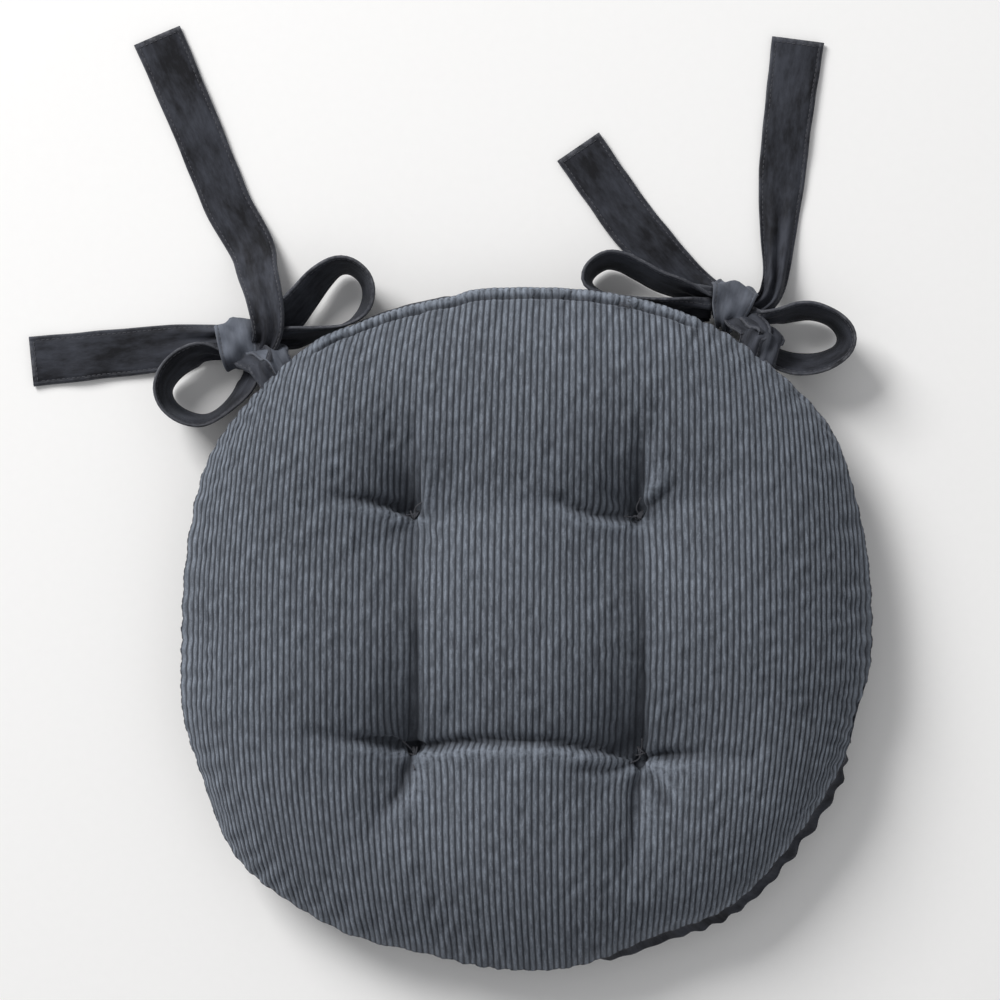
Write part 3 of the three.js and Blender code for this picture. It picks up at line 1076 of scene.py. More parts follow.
def strap_rings(centres, acrosses, widths, thickness, seed, gather, full_width):
    """Rings of points round a flat strap with sewn edges, and the parts of it to sew along."""
    tangents = unit(np.gradient(centres, axis=0))
    acrosses = unit(acrosses - tangents * np.sum(acrosses * tangents, axis=1, keepdims=True))
    normals = np.cross(tangents, acrosses)
    along = path_lengths(centres)
    half = strap_profile(thickness)
    offset = strap_creases(along, widths, seed, gather, full_width)
    stray = 1 + 0.018 * wobble(along, seed + 3, 0.03)[:, None] * np.sign(ACROSS)
    spread = acrosses[:, None] * (widths[:, None] / 2 * ACROSS * stray)[..., None]
    upper = centres[:, None] + spread + normals[:, None] * (offset + half)[..., None]
    lower = centres[:, None] + spread + normals[:, None] * (offset - half)[..., None]
    rings = np.concatenate([upper, lower[:, -2:0:-1]], axis=1)
    around = np.concatenate([ACROSS, ACROSS[-2:0:-1]])
    underside = np.arange(len(around)) >= len(ACROSS)
    cloth = np.zeros(rings.shape)
    cloth[..., 0] = around * full_width / 2 + np.where(underside, 0.31, 0)
    cloth[..., 1] = along[:, None]
    cloth[..., 2] = seed * 0.37
    # Wear and painted highlight: paler along the strap's rounded edges and beside its stitch lines.
    rub_and_highlight = smooth_step(np.abs(around), 0.93, 1.0)
    line = 0.35 * bell(np.abs(around) - 0.87, 0.03)
    wear_and_highlight = np.broadcast_to((rub_and_highlight + line)[None, :], rings.shape[:2])
    runs = []
    for face, way in ((upper, 1), (lower, -1)):
        for column in STITCH_LINES:
            runs.append((face[:, column], normals * way))
    return rings, cloth, wear_and_highlight, runs, (upper, lower, normals)


def strap_faces(rings):
    rows, count = rings.shape[:2]
    last = (rows - 1) * count
    faces = ring_quads(rows, count)
    faces.append(tuple(range(count)))
    faces.append(tuple(last + k for k in range(count))[::-1])
    return faces


def end_stitches(upper, lower, normals, inset_rows):
    """The row of stitches square across a strap's free end."""
    row = upper.shape[0] - 1 - inset_rows
    first, last = STITCH_LINES
    up = np.repeat(normals[row][None, :], last + 1 - first, axis=0)
    return [(upper[row, first : last + 1], up), (lower[row, first : last + 1], -up)]


END_STITCH_INSET = 3.5 * MM
TOPSTITCH_RADIUS = 0.24 * MM


def make_strap(name, route, ties, materials, seed, free_end=False, gather=1.0, lit=0.0):
    """A velvet strap and its topstitching, as two meshes, along a route of centres and widths."""
    centres, acrosses, widths = route
    rings, cloth, wear_and_highlight, runs, (upper, lower, normals) = strap_rings(
        centres, acrosses, widths, ties.strap_thickness, seed, gather, ties.strap_width
    )
    if free_end:
        row_step = np.linalg.norm(centres[-1] - centres[-2])
        inset = max(1, int(round(END_STITCH_INSET / row_step)))
        end = rings.shape[0] - inset
        runs = [(points[:end], ups[:end]) for points, ups in runs]
        runs += end_stitches(upper, lower, normals, inset)
        wear_and_highlight = wear_and_highlight.copy()
        wear_and_highlight[-1] = 1
    # Painted highlight share for the whole strap, stored as the lit attribute.
    lits = np.full(wear_and_highlight.size, lit)
    attributes = {"cloth": cloth.reshape(-1, 3), "wear_and_highlight": wear_and_highlight.ravel(), "lit": lits}
    faces = strap_faces(rings)
    strap = new_piece(name, rings.reshape(-1, 3), faces, materials["velvet"], attributes)
    stitches = stitch_mesh(runs, ties.stitch_length, ties.stitch_pitch, TOPSTITCH_RADIUS)
    thread = thread_piece(f"{name}_topstitch", stitches, materials["thread"])
    return strap, thread


def bend(pieces):
    for piece in pieces:
        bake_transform(piece)


# Routes in plan from the middle of a knot, in mm. Loops are [x, y, lean in degrees].
LOOPS = {
    "left_back_loop": [
        [10, 4, 60], [20, 9, 58], [30, 17, 44], [38.5, 27, 34], [47, 37.5, 28], [57, 45, 20],
        [66, 45, 16], [74, 38.5, 15], [76.5, 29, 15], [73, 19, 14], [62, 10.5, 4], [46, 6, -12],
        [30, 3, -28], [12, 0.5, -34],
    ],
    "left_front_loop": [
        [-8, -4, 14], [-21, -5, 24], [-32, -10, 26], [-40.5, -18, 22], [-44, -27, 16],
        [-41, -36, 14], [-33, -42.5, 14], [-22, -45, 14], [-13, -42, 14], [-4, -35, 18],
        [3.5, -26, 24], [7.5, -17, 26], [7, -8, 20],
    ],
    "right_inner_loop": [
        [-11, 7, 14], [-25, 10, 18], [-39, 14, 20], [-52, 20.5, 20], [-63, 26, 18], [-73, 27, 17],
        [-82, 21, 16], [-83, 13, 12], [-72, 6.5, 4], [-54, 2, -10], [-40, -1, -22],
        [-26, -2, -30], [-11, -2, -32],
    ],
    "right_outer_loop": [
        [10, -4, 12], [18, -7, 16], [28.5, -5.5, 18], [39, -3, 20], [49, -3, 18], [59.5, -6.5, 15],
        [66, -12.5, 14], [68, -19.5, 14], [65, -26, 16], [57, -31, 22], [48, -33.5, 27],
        [38, -33.5, 29], [28, -30.5, 28], [19, -25, 26], [12.5, -15, 20], [9, -8, 12],
    ],
}
# Tails are [x, y, underside height, width].
TAILS = {
    "left_back_tail": [
        [10, -9, 8, 13], [14.5, -4, 16, 15], [18, 4, 23, 17], [18, 15, 25, 20],
        [15.2, 29, 22, 22], [11, 43, 12, 24.5], [6.5, 58, 3, 27], [-7.3, 82.6, 0.4, 28],
        [-28, 133, 0.4, 28.5], [-49, 182, 0.4, 29.5],
    ],
    "left_side_tail": [
        [-4, 3, 4, 14], [-12, 2.5, 1.6, 18], [-26, 1, 0.4, 22], [-45, -2, 0.4, 27],
        [-82, -6, 0.4, 28.5], [-123, -10, 0.4, 29.5],
    ],
    "right_back_tail": [
        [7, -3, 7, 11], [14, -1, 10, 12], [21.5, 4, 10, 13], [25.5, 12, 8, 14.5], [28, 23, 3, 16],
        [29.3, 46, 0.4, 22], [31.5, 77, 0.4, 27.5], [34.5, 107, 0.4, 28.5], [41, 158, 0.4, 31],
    ],
    "right_inner_tail": [
        [-1, 3, 3, 14], [-10, 7, 1.6, 18], [-19, 12, 0.4, 22], [-31, 22, 0.4, 25],
        [-54, 46.5, 0.4, 29.5], [-72, 71, 0.4, 29.5], [-88.5, 95, 0.4, 30],
    ],
}
# How strongly each tail is pleated lengthwise where it leaves the knot
PLEATS = {
    "left_back_tail": 0.5,
    "left_side_tail": 0.8,
    "right_back_tail": 0.9,
    "right_inner_tail": 0.7,
}
# The nodes of the frame that each tail stands for
TAIL_NODES = {
    "left_back_tail": ["left_back_tail"],
    "left_side_tail": ["left_tail_root", "left_side_tail"],
    "right_back_tail": ["right_back_tail"],
    "right_inner_tail": ["right_tail_root", "right_inner_tail"],
}


def side_of(name):
    return name.split("_")[0]


def hinge_of(side):
    """Where a bow swings: a point on the line, the line's direction, and away from the pad."""
    joint = joint_named(f"{side}_bow_swing")
    axis = np.array(joint["axis"])
    return np.array(joint["pos_m"]), axis, unit(np.array([-axis[1], axis[0], 0]))


def make_loop(name, ties, materials, seed):
    """A loop of a bow: strap on edge that leans outward, drawn together where it enters the knot."""
    knot = KNOTS[side_of(name)]
    points = np.array(LOOPS[name], float)
    level = np.zeros(len(points))
    columns = [points[:, 0] * MM, points[:, 1] * MM, level, np.radians(points[:, 2])]
    line = spline(np.stack(columns, -1), 2.6 * MM)
    plan = line[:, :2]
    share = np.linspace(0, 1, len(plan))
    open_width = smooth_step(np.minimum(share, 1 - share), 0.0, 0.15)
    middle = box_middle(name).z
    in_knot = 12 * MM
    height = middle + (in_knot - middle) * (1 - open_width) + 0.6 * MM * wobble(share, seed, 0.5)
    centres = np.stack([knot[0] + plan[:, 0], knot[1] + plan[:, 1], height], -1)
    tangent = unit(np.gradient(plan, axis=0))
    area = np.sum(plan[:-1, 0] * plan[1:, 1] - plan[1:, 0] * plan[:-1, 1])
    way = 1 if area > 0 else -1
    out = np.stack([tangent[:, 1] * way, -tangent[:, 0] * way], -1)
    lean = ties.loop_lean * line[:, 3] * (1 + 0.15 * wobble(share, seed + 9, 0.6))
    acrosses = np.stack([out[:, 0] * np.sin(lean), out[:, 1] * np.sin(lean), np.cos(lean)], -1)
    widths = ties.strap_width * (0.62 + 0.37 * open_width)
    route = (centres, acrosses, widths)
    strap, thread = make_strap(name + "_strap", route, ties, materials, seed)
    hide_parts(name)
    bend([strap, thread])


def make_tail(name, ties, materials, seed):
    """A loose end of a bow, which lies flat."""
    side = side_of(name)
    knot = KNOTS[side]
    line = spline(np.array(TAILS[name]) * MM, 2.8 * MM)
    half = ties.strap_thickness / 2
    centres = np.stack([knot[0] + line[:, 0], knot[1] + line[:, 1], line[:, 2] + half], -1)
    tangent = unit(np.gradient(centres, axis=0))
    along = np.linspace(0, 1, len(centres))
    tilt = 0.25 * np.exp(-((along / 0.12) ** 2)) + 0.03 * wobble(along, seed + 5, 0.5)
    acrosses = np.stack([tangent[:, 1], -tangent[:, 0], np.sin(tilt)], -1)
    widths = np.clip(line[:, 3], 12 * MM, 31 * MM)
    lift = 0.5 * MM + 0.5 * MM * wobble(along, seed + 6, 0.4)
    narrow = np.clip(1 - widths / ties.strap_width, 0, 1)
    centres[:, 2] += np.maximum(lift, 0) + narrow * 5.5 * MM
    route = (centres, acrosses, widths)
    pleats = PLEATS[name]
    strap, thread = make_strap(name + "_strap", route, ties, materials, seed, True, pleats)
    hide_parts(*TAIL_NODES[name])
    bend([strap, thread])


STEMS = {"a": -1, "b": 1}
# How much painted highlight the velvet of each stem gets
STEM_LIT = {"left_stem_a": 0.10, "left_stem_b": 0.65, "right_stem_a": 0.08, "right_stem_b": 0.14}


def make_stem(side, letter, ties, materials, seed):
    """One end of a tie, folded where the edge seam catches it and crumpled up to the knot."""
    name = f"{side}_stem_{letter}"
    tab_place = np.array(box_middle(f"{side}_tab_{letter}"))
    stem = box_middle(name)
    knot = KNOTS[side]
    hinge, axis, forward = hinge_of(side)
    sideways = axis * ((tab_place - hinge) @ axis)
    up = np.array([0, 0, 1.0])
    start = hinge + sideways * 0.8 - forward * 13 * MM
    at_hinge = hinge + sideways * 0.8
    after = hinge + sideways * 0.65 + forward * 5 * MM - up * 3.5 * MM
    near_knot = np.array(stem) * 0.5 + (knot + sideways * 0.5) * 0.5
    in_knot = knot + sideways * 0.4 + up * MM
    stops = [
        [*start, 12 * MM],
        [*at_hinge, 14 * MM],
        [*after, 19 * MM],
        [*near_knot, 17 * MM],
        [*in_knot, 12 * MM],
    ]
    line = spline(np.array(stops), 1.6 * MM)
    centres = line[:, :3]
    turn = np.linspace(0, 1, len(centres))
    roll = (0.35 if letter == "a" else -0.45) * np.sin(math.pi * turn)
    acrosses = axis * np.cos(roll)[:, None] + up * np.sin(roll)[:, None]
    route = (centres, acrosses, line[:, 3])
    strap, thread = make_strap(
        f"{name}_strap", route, ties, materials, seed, gather=0.22, lit=STEM_LIT[name]
    )
    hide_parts(name, f"{side}_tab_{letter}")
    bend([strap, thread])


# Each knot's wrap: its direction, how much painted highlight its velvet gets, and its widths in mm
KNOT_TURN = {"left": math.radians(98), "right": math.radians(74)}
KNOT_LIT = {"left": 0.74, "right": 0.56}
KNOT_WIDTHS = {"left": (25, 23, 20), "right": (29, 23, 11)}
WRAP_REACH = 13.0 * MM
CORE_ROWS = 28


def knot_core(knot, middle_z, half_height, seed):
    """Points and faces of the crumpled straps inside a knot."""
    columns = CORE_ROWS * 2
    polar = np.linspace(0, math.pi, CORE_ROWS)[:, None]
    around = np.linspace(0, 2 * math.pi, columns, endpoint=False)[None, :]
    crumple = 1 + 0.07 * np.sin(3 * around + 2 * polar + seed * 1.7) * np.sin(polar)
    crumple = crumple + 0.05 * np.sin(7 * around - 3 * polar) * np.sin(polar)
    x = np.sin(polar) * np.cos(around) * 11.5 * MM * crumple
    y = np.sin(polar) * np.sin(around) * 11.0 * MM * crumple
    z = np.cos(polar) * (half_height - 3.2 * MM) * np.ones_like(around)
    core = np.stack([knot[0] + x, knot[1] + y, middle_z + z], -1)
    return core.reshape(-1, 3), ring_quads(CORE_ROWS, columns)


def make_knot(side, ties, materials, seed):
    """The strap wrapped round the middle of the bow, and the crossed straps inside it."""
    knot = KNOTS[side]
    low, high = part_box(f"{side}_knot")
    middle_z = (low.z + high.z) / 2
    half_height = (high.z - low.z) / 2
    heading = np.array([math.cos(KNOT_TURN[side]), math.sin(KNOT_TURN[side]), 0])
    sideways = np.array([heading[1], -heading[0], 0])
    turns = np.radians(np.linspace(205, -25, 44))
    flat = np.sign(np.cos(turns)) * np.abs(np.cos(turns)) ** 0.8 * WRAP_REACH
    centres = knot + heading * flat[:, None]
    centres[:, 2] = middle_z + np.sin(turns) * (half_height - 1.0 * MM)
    start, middle, end = (width * MM for width in KNOT_WIDTHS[side])
    share = np.linspace(0, 1, len(turns))
    widths = np.interp(share, [0, 0.25, 0.5, 0.75, 1], [end * 0.8, end, middle, start, start * 0.7])
    slant = 0.1 * np.sin(math.pi * share)
    acrosses = sideways + heading * slant[:, None]
    route = (centres, -acrosses, widths)
    wrap, thread = make_strap(
        f"{side}_knot_wrap", route, ties, materials, seed, gather=0.36, lit=KNOT_LIT[side]
    )
    core, faces = knot_core(knot, middle_z, half_height, seed)
    attributes = {"cloth": core - knot, "wear_and_highlight": np.zeros(len(core))}
    inside = new_piece(f"{side}_knot_core", core, faces, materials["velvet"], attributes)
    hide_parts(f"{side}_knot")
    for piece in (wrap, thread, inside):
        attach(piece, f"{side}_bow")


# Materials


def feed(tree, value, target):
    """Joins another node's output to an input, or sets the input to a plain value."""
    if isinstance(value, bpy.types.NodeSocket):
        tree.links.new(value, target)
    elif value is not None:
        target.default_value = value


def feed_named(tree, node, sockets):
    for key, value in sockets.items():
        feed(tree, value, node.inputs[key.replace("_", " ")])


def add_node(tree, kind, settings=None, **sockets):
    """A node with some settings and inputs, which may be other nodes' outputs."""
    node = tree.nodes.new(kind)
    for key, value in (settings or {}).items():
        setattr(node, key, value)
    feed_named(tree, node, sockets)
    return node


def math_node(tree, operation, *values, clamp=False):
    node = add_node(tree, "ShaderNodeMath", {"operation": operation, "use_clamp": clamp})
    for target, value in zip(node.inputs, values):
        feed(tree, value, target)
    return node.outputs[0]


def times(tree, *values):
    """The product of some values."""
    product = values[0]
    for value in values[1:]:
        product = math_node(tree, "MULTIPLY", product, value)
    return product


def mix_colours(tree, factor, first, second):
    node = add_node(tree, "ShaderNodeMix", {"data_type": "RGBA", "blend_type": "MIX"})
    feed(tree, factor, node.inputs[0])
    for index, colour in ((6, first), (7, second)):
        if not isinstance(colour, bpy.types.NodeSocket):
            colour = (*colour[:3], 1)
        feed(tree, colour, node.inputs[index])
    return node.outputs[2]


def stretched(tree, coordinate, scale):
    return add_node(tree, "ShaderNodeMapping", Vector=coordinate, Scale=scale).outputs[0]


def noise(tree, coordinate, scale, detail, roughness):
    node = add_node(tree, "ShaderNodeTexNoise", Scale=scale, Detail=detail, Roughness=roughness)
    feed(tree, coordinate, node.inputs["Vector"])
    return node.outputs["Fac"]


def levels(tree, value, low, high):
    node = add_node(tree, "ShaderNodeMapRange", Value=value, From_Min=low, From_Max=high)
    return node.outputs[0]


def group_with(name, inputs, outputs):
    """An empty node group with those sockets, and its input and output nodes."""
    tree = bpy.data.node_groups.new(name, "ShaderNodeTree")
    for label, kind, default in inputs:
        socket = tree.interface.new_socket(name=label, in_out="INPUT", socket_type=kind)
        if default is not None:
            socket.default_value = default
    for label, kind in outputs:
        tree.interface.new_socket(name=label, in_out="OUTPUT", socket_type=kind)
    return tree, tree.nodes.new("NodeGroupInput"), tree.nodes.new("NodeGroupOutput")


def pile_group():
    """Fine upright fibres and the patches that hands have brushed into them."""
    inputs = [
        ("Cloth", "NodeSocketVector", None),
        ("Patch size", "NodeSocketFloat", 30.0),
        ("Fibre size", "NodeSocketFloat", 1500.0),
    ]
    outputs = [("Brushed", "NodeSocketFloat"), ("Fibres", "NodeSocketFloat")]
    tree, start, end = group_with("Brushed pile", inputs, outputs)
    cloth = start.outputs["Cloth"]
    long_way = stretched(tree, cloth, (1.0, 0.55, 1.0))
    patches = noise(tree, long_way, start.outputs["Patch size"], 4.0, 0.6)
    fine = times(tree, start.outputs["Patch size"], 6.0)
    flecks = noise(tree, stretched(tree, cloth, (1.0, 0.3, 1.0)), fine, 3.0, 0.65)
    total = math_node(tree, "ADD", times(tree, patches, 0.65), times(tree, flecks, 0.45))
    tree.links.new(levels(tree, total, 0.42, 0.68), end.inputs["Brushed"])
    fibres = noise(tree, cloth, start.outputs["Fibre size"], 2.0, 0.6)
    tree.links.new(fibres, end.inputs["Fibres"])
    return tree


def rub_and_highlight_group():
    """Uneven wear and painted highlight that follow a mask painted on the edges and seam lines."""
    inputs = [
        ("Cloth", "NodeSocketVector", None),
        ("Mask", "NodeSocketFloat", 0.0),
        ("Amount", "NodeSocketFloat", 1.0),
    ]
    tree, start, end = group_with("Rubbed edges", inputs, [("Rub", "NodeSocketFloat")])
    broken = noise(tree, start.outputs["Cloth"], 260.0, 3.0, 0.7)
    uneven = levels(tree, broken, 0.36, 0.66)
    masked = times(tree, start.outputs["Mask"], uneven)
    rub_and_highlight = math_node(tree, "MULTIPLY", masked, start.outputs["Amount"], clamp=True)
    tree.links.new(rub_and_highlight, end.inputs["Rub"])
    return tree


def twist_group():
    """The spiral of the plies in a sewing thread."""
    inputs = [("Cloth", "NodeSocketVector", None), ("Plies", "NodeSocketFloat", 900.0)]
    tree, start, end = group_with("Thread twist", inputs, [("Height", "NodeSocketFloat")])
    wave = add_node(tree, "ShaderNodeTexWave", {"bands_direction": "DIAGONAL"}, Distortion=1.5)
    tree.links.new(start.outputs["Cloth"], wave.inputs["Vector"])
    tree.links.new(start.outputs["Plies"], wave.inputs["Scale"])
    tree.links.new(wave.outputs["Fac"], end.inputs["Height"])
    return tree


_groups = {}


def use_group(tree, key, maker, **sockets):
    if key not in _groups:
        _groups[key] = maker()
    return add_node(tree, "ShaderNodeGroup", {"node_tree": _groups[key]}, **sockets)


def new_material(name):
    material = bpy.data.materials.new(name)
    material.use_nodes = True
    tree = material.node_tree
    tree.nodes.clear()
    shader = tree.nodes.new("ShaderNodeBsdfPrincipled")
    output = tree.nodes.new("ShaderNodeOutputMaterial")
    tree.links.new(shader.outputs[0], output.inputs["Surface"])
    return material, tree, shader


def painted(tree, key, output="Fac"):
    return add_node(tree, "ShaderNodeAttribute", {"attribute_name": key}).outputs[output]


def bumped(tree, shader, height, distance, strength):
    node = add_node(tree, "ShaderNodeBump", Height=height, Distance=distance, Strength=strength)
    tree.links.new(node.outputs[0], shader.inputs["Normal"])


def shaded(colour, amount):
    """The same colour, lighter or darker."""
    return [channel * amount for channel in colour]


def cloth_shine(shader, sheen, roughness, tint, specular):
    """Constant sheen and gloss of a pile cloth, set on the shader itself."""
    shader.inputs["Sheen Weight"].default_value = sheen
    shader.inputs["Sheen Roughness"].default_value = roughness
    shader.inputs["Sheen Tint"].default_value = (*tint, 1)
    shader.inputs["Specular IOR Level"].default_value = specular


def corduroy_material(colours):
    """Cut pile ribs, paler on their crests with painted highlight and darker in the furrows with
    painted shade, with nap crushed in streaks along each rib.
    """
    material, tree, shader = new_material("corduroy pile")
    cloth = painted(tree, "cloth", "Vector")
    crest = painted(tree, "crest")
    # Painted light: the crest share squared lights the crests and leaves the furrows in painted shade.
    lit = times(tree, crest, crest)
    pile = use_group(tree, "pile", pile_group, Cloth=cloth, Patch_size=26.0, Fibre_size=1300.0)
    streaks = noise(tree, stretched(tree, cloth, (480.0, 120.0, 1.0)), 1.0, 5.0, 0.8)
    specks = noise(tree, stretched(tree, cloth, (1.0, 1.7, 1.0)), 1100.0, 3.0, 0.75)
    furrow_shade = colours.wale_furrow_shade
    pale = shaded(colours.wale_crest, 1.9)
    deep = shaded(colours.wale_crest, 0.42)
    unbrushed = math_node(tree, "SUBTRACT", 1.0, pile.outputs["Brushed"])
    # Wear and painted highlight on the raised fold lips and the closing roll.
    rub_and_highlight = use_group(tree, "rub_and_highlight", rub_and_highlight_group, Cloth=cloth, Mask=painted(tree, "wear_and_highlight"), Amount=0.55)
    layers = (
        (times(tree, unbrushed, 0.44), furrow_shade),
        (times(tree, levels(tree, streaks, 0.44, 0.62), lit, 0.72), pale),
        (times(tree, levels(tree, specks, 0.42, 0.66), lit, 0.55), deep),
        (rub_and_highlight.outputs["Rub"], pale),
        # Painted shade from the shade attribute, towards the furrow colour.
        (times(tree, painted(tree, "shade"), 0.72), furrow_shade),
    )
    colour = mix_colours(tree, lit, furrow_shade, colours.wale_crest)
    for share, layer in layers:
        colour = mix_colours(tree, share, colour, layer)
    tree.links.new(colour, shader.inputs["Base Color"])
    rough = levels(tree, pile.outputs["Brushed"], -6.0, 1.6)
    tree.links.new(rough, shader.inputs["Roughness"])
    cloth_shine(shader, 0.28, 0.45, (0.78, 0.86, 1.0), 0.2)
    height = math_node(tree, "ADD", pile.outputs["Fibres"], times(tree, streaks, 0.8))
    bumped(tree, shader, height, 0.5 * MM, 0.75)
    return material


def velvet_material(colours):
    """Short smooth pile with brushed patches, rubbed edges with wear and painted highlight, and
    painted highlight on the knots and stems.
    """
    material, tree, shader = new_material("tie velvet")
    cloth = painted(tree, "cloth", "Vector")
    pile = use_group(tree, "pile", pile_group, Cloth=cloth, Patch_size=42.0, Fibre_size=2200.0)
    brushed = pile.outputs["Brushed"]
    colour = mix_colours(tree, brushed, colours.velvet_deep, colours.velvet_light)
    # Painted highlight where the lit attribute is set, on the knots and stems.
    facing = math_node(tree, "MULTIPLY_ADD", brushed, 0.5, 0.5)
    colour = mix_colours(tree, times(tree, painted(tree, "lit"), facing), colour, colours.velvet_lit)
    # Wear and painted highlight on the rubbed edges and seam lines.
    rub_and_highlight = use_group(tree, "rub_and_highlight", rub_and_highlight_group, Cloth=cloth, Mask=painted(tree, "wear_and_highlight"), Amount=0.75)
    colour = mix_colours(tree, rub_and_highlight.outputs["Rub"], colour, colours.velvet_worn_highlight)
    tree.links.new(colour, shader.inputs["Base Color"])
    rough = levels(tree, pile.outputs["Fibres"], -1.6, 1.2)
    tree.links.new(rough, shader.inputs["Roughness"])
    cloth_shine(shader, 0.12, 0.35, (0.80, 0.87, 1.0), 0.25)
    bumped(tree, shader, pile.outputs["Fibres"], 0.25 * MM, 0.6)
    return material


def thread_material(colours):
    """Twisted sewing thread, paler on top of each ply with painted highlight."""
    material, tree, shader = new_material("sewing thread")
    cloth = painted(tree, "cloth", "Vector")
    twist = use_group(tree, "twist", twist_group, Cloth=cloth, Plies=900.0)
    pale = shaded(colours.thread, 2.6)
    # Painted highlight on top of each ply.
    thread_ply_highlight = mix_colours(tree, twist.outputs["Height"], colours.thread, pale)
    tree.links.new(thread_ply_highlight, shader.inputs["Base Color"])
    shader.inputs["Roughness"].default_value = 0.6
    shader.inputs["Sheen Weight"].default_value = 0.1
    bumped(tree, shader, twist.outputs["Height"], 0.15 * MM, 0.7)
    return material


def fibre_material(colours):
    """Loose white stuffing fibre."""
    material, tree, shader = new_material("stuffing fibre")
    cloth = painted(tree, "cloth", "Vector")
    pile = use_group(tree, "pile", pile_group, Cloth=cloth, Patch_size=90.0, Fibre_size=700.0)
    deep = shaded(colours.fibre, 0.8)
    white = mix_colours(tree, pile.outputs["Brushed"], deep, colours.fibre)
    tree.links.new(white, shader.inputs["Base Color"])
    shader.inputs["Roughness"].default_value = 0.95
    bumped(tree, shader, pile.outputs["Fibres"], 0.8 * MM, 0.8)
    return material


_materials = {}


def materials_for(scene):
    """The four materials of the cushion, made once."""
    if not _materials:
        colours = scene.cushion_colours
        _materials["corduroy"] = corduroy_material(colours)
        _materials["velvet"] = velvet_material(colours)
        _materials["thread"] = thread_material(colours)
        _materials["fibre"] = fibre_material(colours)
    return _materials


# Operators, one for each piece or group of like pieces


class CUSHION_OT_top_panel(bpy.types.Operator):
    """Make the ribbed corduroy top"""

    bl_idname = "cushion.top_panel"
    bl_label = "Top panel"

    def execute(self, context):
        make_top_panel(context.scene.cushion_pad, materials_for(context.scene)["corduroy"])
        return {"FINISHED"}


class CUSHION_OT_bottom_panel(bpy.types.Operator):
    """Make the velvet underside"""

    bl_idname = "cushion.bottom_panel"
    bl_label = "Bottom panel"

    def execute(self, context):
        make_bottom_panel(context.scene.cushion_pad, materials_for(context.scene)["velvet"])
        return {"FINISHED"}


class CUSHION_OT_stuffing(bpy.types.Operator):
    """Make the fibre stuffing inside the cover"""

    bl_idname = "cushion.stuffing"
    bl_label = "Stuffing"

    def execute(self, context):
        make_fibre_fill(context.scene.cushion_pad, materials_for(context.scene)["fibre"])
        return {"FINISHED"}


class CUSHION_OT_seams(bpy.types.Operator):
    """Make the stitches of the edge seam and of the closing seam"""

    bl_idname = "cushion.seams"
    bl_label = "Seams"

    def execute(self, context):
        sizes = context.scene.cushion_pad
        materials = materials_for(context.scene)
        make_edge_seam(sizes, materials["thread"])
        make_back_tack(sizes, materials["thread"])
        return {"FINISHED"}


class CUSHION_OT_tufts(bpy.types.Operator):
    """Make the tied threads of the four tufts"""

    bl_idname = "cushion.tufts"
    bl_label = "Tufts"

    def execute(self, context):
        make_tufts(context.scene.cushion_pad, materials_for(context.scene)["thread"])
        return {"FINISHED"}


class CUSHION_OT_knots(bpy.types.Operator):
    """Make the knot of each bow"""

    bl_idname = "cushion.knots"
    bl_label = "Knots"

    def execute(self, context):
        for number, side in enumerate(KNOTS):
            make_knot(side, context.scene.cushion_ties, materials_for(context.scene), 101 + number)
        return {"FINISHED"}


class CUSHION_OT_stems(bpy.types.Operator):
    """Make the four strap ends that run from the edge seam to the knots"""

    bl_idname = "cushion.stems"
    bl_label = "Stems"

    def execute(self, context):
        for number, side in enumerate(KNOTS):
            for letter in STEMS:
                seed = 111 + 2 * number + (letter == "b")
                make_stem(side, letter, context.scene.cushion_ties, materials_for(context.scene), seed)
        return {"FINISHED"}


class CUSHION_OT_loops(bpy.types.Operator):
    """Make the four loops of the bows"""

    bl_idname = "cushion.loops"
    bl_label = "Loops"

    def execute(self, context):
        for number, name in enumerate(LOOPS):
            make_loop(name, context.scene.cushion_ties, materials_for(context.scene), 121 + number)
        return {"FINISHED"}


class CUSHION_OT_tails(bpy.types.Operator):
    """Make the four loose ends of the bows"""

    bl_idname = "cushion.tails"
    bl_label = "Tails"

    def execute(self, context):
        for number, name in enumerate(TAILS):
            make_tail(name, context.scene.cushion_ties, materials_for(context.scene), 131 + number)
        return {"FINISHED"}


def area_light(name, place, target, size, power, colour):
    light = bpy.data.lights.new(name, "AREA")
    light.energy = power
    light.size = size
    light.color = colour
    lamp = bpy.data.objects.new(name, light)
    bpy.context.scene.collection.objects.link(lamp)
    lamp.location = place
    direction = Vector(target) - Vector(place)
    lamp.rotation_euler = direction.to_track_quat("-Z", "Y").to_euler()


WORLD_LIGHT = 0.40
WORLD_SEEN = 0.92
STAGE_MIDDLE = (0, 0.03, 0.03)
CAMERA_PLACE = (-0.0157, 0.0748, 1.834)
CAMERA_LENS = 112
FLOOR_HALF_WIDTH = 6.0
FLOOR_HEIGHT = -0.3 * MM


def light_world(scene):
    """White surroundings that light the cushion less than they show."""
    world = scene.world or bpy.data.worlds.new("studio")
    scene.world = world
    world.use_nodes = True
    tree = world.node_tree
    background = tree.nodes["Background"]
    background.inputs["Color"].default_value = (1, 1, 1, 1)
    path = tree.nodes.new("ShaderNodeLightPath")
    is_seen = path.outputs["Is Camera Ray"]
    range_kind = "ShaderNodeMapRange"
    seen = add_node(tree, range_kind, Value=is_seen, To_Min=WORLD_LIGHT, To_Max=WORLD_SEEN)
    tree.links.new(seen.outputs[0], background.inputs["Strength"])


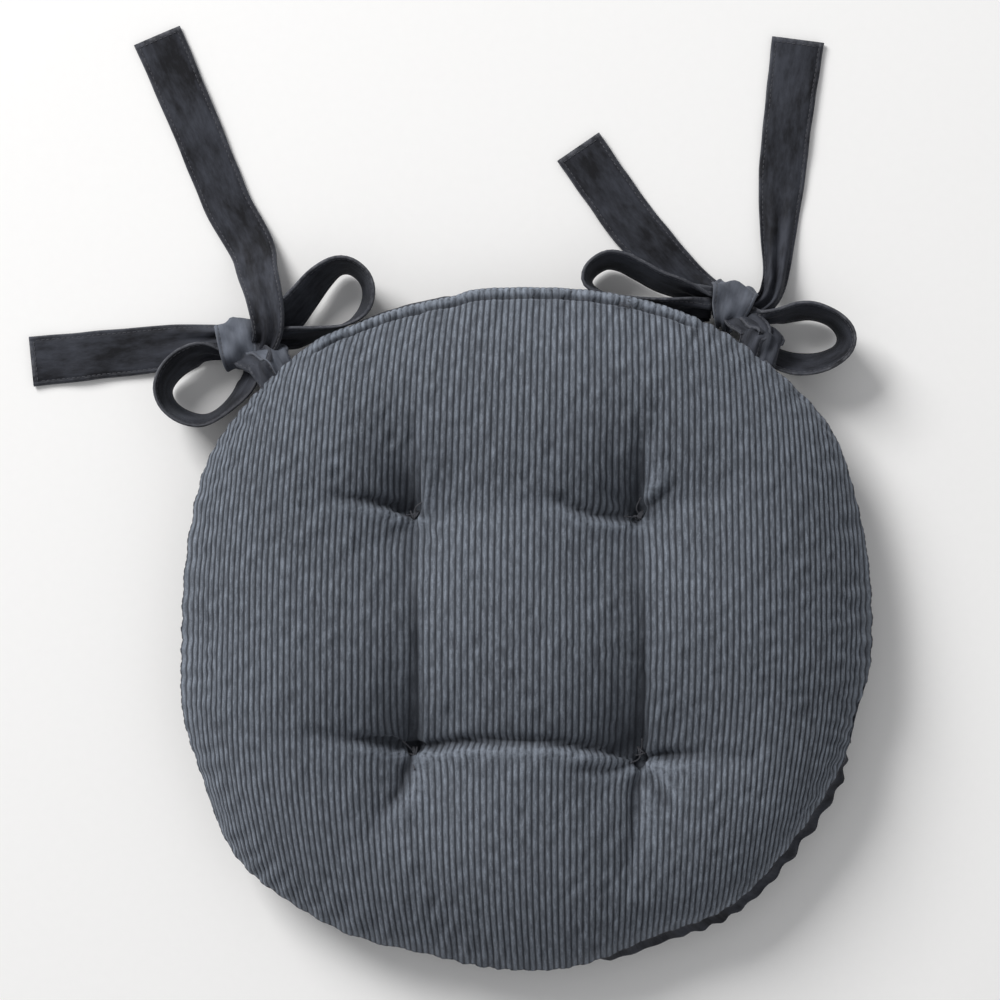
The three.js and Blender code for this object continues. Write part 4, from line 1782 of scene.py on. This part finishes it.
def lay_floor(scene):
    material, tree, shader = new_material("pale floor")
    place = tree.nodes.new("ShaderNodeTexCoord")
    grain = noise(tree, place.outputs["Object"], 180.0, 3.0, 0.5)
    near_white = mix_colours(tree, grain, (0.93, 0.93, 0.935), (0.95, 0.95, 0.955))
    tree.links.new(near_white, shader.inputs["Base Color"])
    shader.inputs["Roughness"].default_value = 0.9
    shader.inputs["Specular IOR Level"].default_value = 0.1
    mesh = bpy.data.meshes.new("floor")
    builder = bmesh.new()
    bmesh.ops.create_grid(builder, x_segments=8, y_segments=8, size=FLOOR_HALF_WIDTH)
    builder.to_mesh(mesh)
    builder.free()
    mesh.materials.append(material)
    floor = bpy.data.objects.new("floor", mesh)
    scene.collection.objects.link(floor)
    floor.location.z = FLOOR_HEIGHT


def make_stage(scene):
    """A pale floor, soft studio light from the back left, and a camera that looks straight down."""
    light_world(scene)
    area_light("key_light", (-2.3, 2.7, 2.3), STAGE_MIDDLE, 1.9, 178, (1.0, 0.99, 0.97))
    area_light("fill_light", (3.0, -2.2, 3.5), STAGE_MIDDLE, 3.0, 8, (0.96, 0.98, 1.0))
    lay_floor(scene)
    lens = bpy.data.cameras.new("camera")
    lens.lens = CAMERA_LENS
    camera = bpy.data.objects.new("camera", lens)
    scene.collection.objects.link(camera)
    camera.location = CAMERA_PLACE
    scene.camera = camera
    scene.view_settings.view_transform = "Standard"


class CUSHION_OT_stage(bpy.types.Operator):
    """Make the floor, the lights and the camera"""

    bl_idname = "cushion.stage"
    bl_label = "Stage"

    def execute(self, context):
        make_stage(context.scene)
        return {"FINISHED"}


OPERATORS = (
    CUSHION_OT_stage,
    CUSHION_OT_top_panel,
    CUSHION_OT_bottom_panel,
    CUSHION_OT_stuffing,
    CUSHION_OT_seams,
    CUSHION_OT_tufts,
    CUSHION_OT_knots,
    CUSHION_OT_stems,
    CUSHION_OT_loops,
    CUSHION_OT_tails,
)


class CUSHION_PT_maker(bpy.types.Panel):
    """Lists the cushion's sizes, colours and pieces."""

    bl_idname = "CUSHION_PT_maker"
    bl_label = "Cushion"
    bl_space_type = "VIEW_3D"
    bl_region_type = "UI"
    bl_category = "Cushion"

    def draw(self, context):
        for heading, group in (
            ("Pad", context.scene.cushion_pad),
            ("Ties", context.scene.cushion_ties),
            ("Colours", context.scene.cushion_colours),
        ):
            box = self.layout.box()
            box.label(text=heading)
            for key in group.__annotations__:
                box.prop(group, key)
        box = self.layout.box()
        box.label(text="Pieces")
        for operator in OPERATORS:
            box.operator(operator.bl_idname)


GROUPS = {
    "cushion_pad": CushionPadSizes,
    "cushion_ties": CushionTieSizes,
    "cushion_colours": CushionColours,
}


def register():
    for kind in (*GROUPS.values(), *OPERATORS, CUSHION_PT_maker):
        bpy.utils.register_class(kind)
    for key, kind in GROUPS.items():
        setattr(bpy.types.Scene, key, bpy.props.PointerProperty(type=kind))


def unregister():
    for key in GROUPS:
        delattr(bpy.types.Scene, key)
    for kind in reversed((*GROUPS.values(), *OPERATORS, CUSHION_PT_maker)):
        bpy.utils.unregister_class(kind)


def main():
    register()
    for operator in OPERATORS:
        group, name = operator.bl_idname.split(".")
        getattr(getattr(bpy.ops, group), name)()


if __name__ == "__main__":
    main()
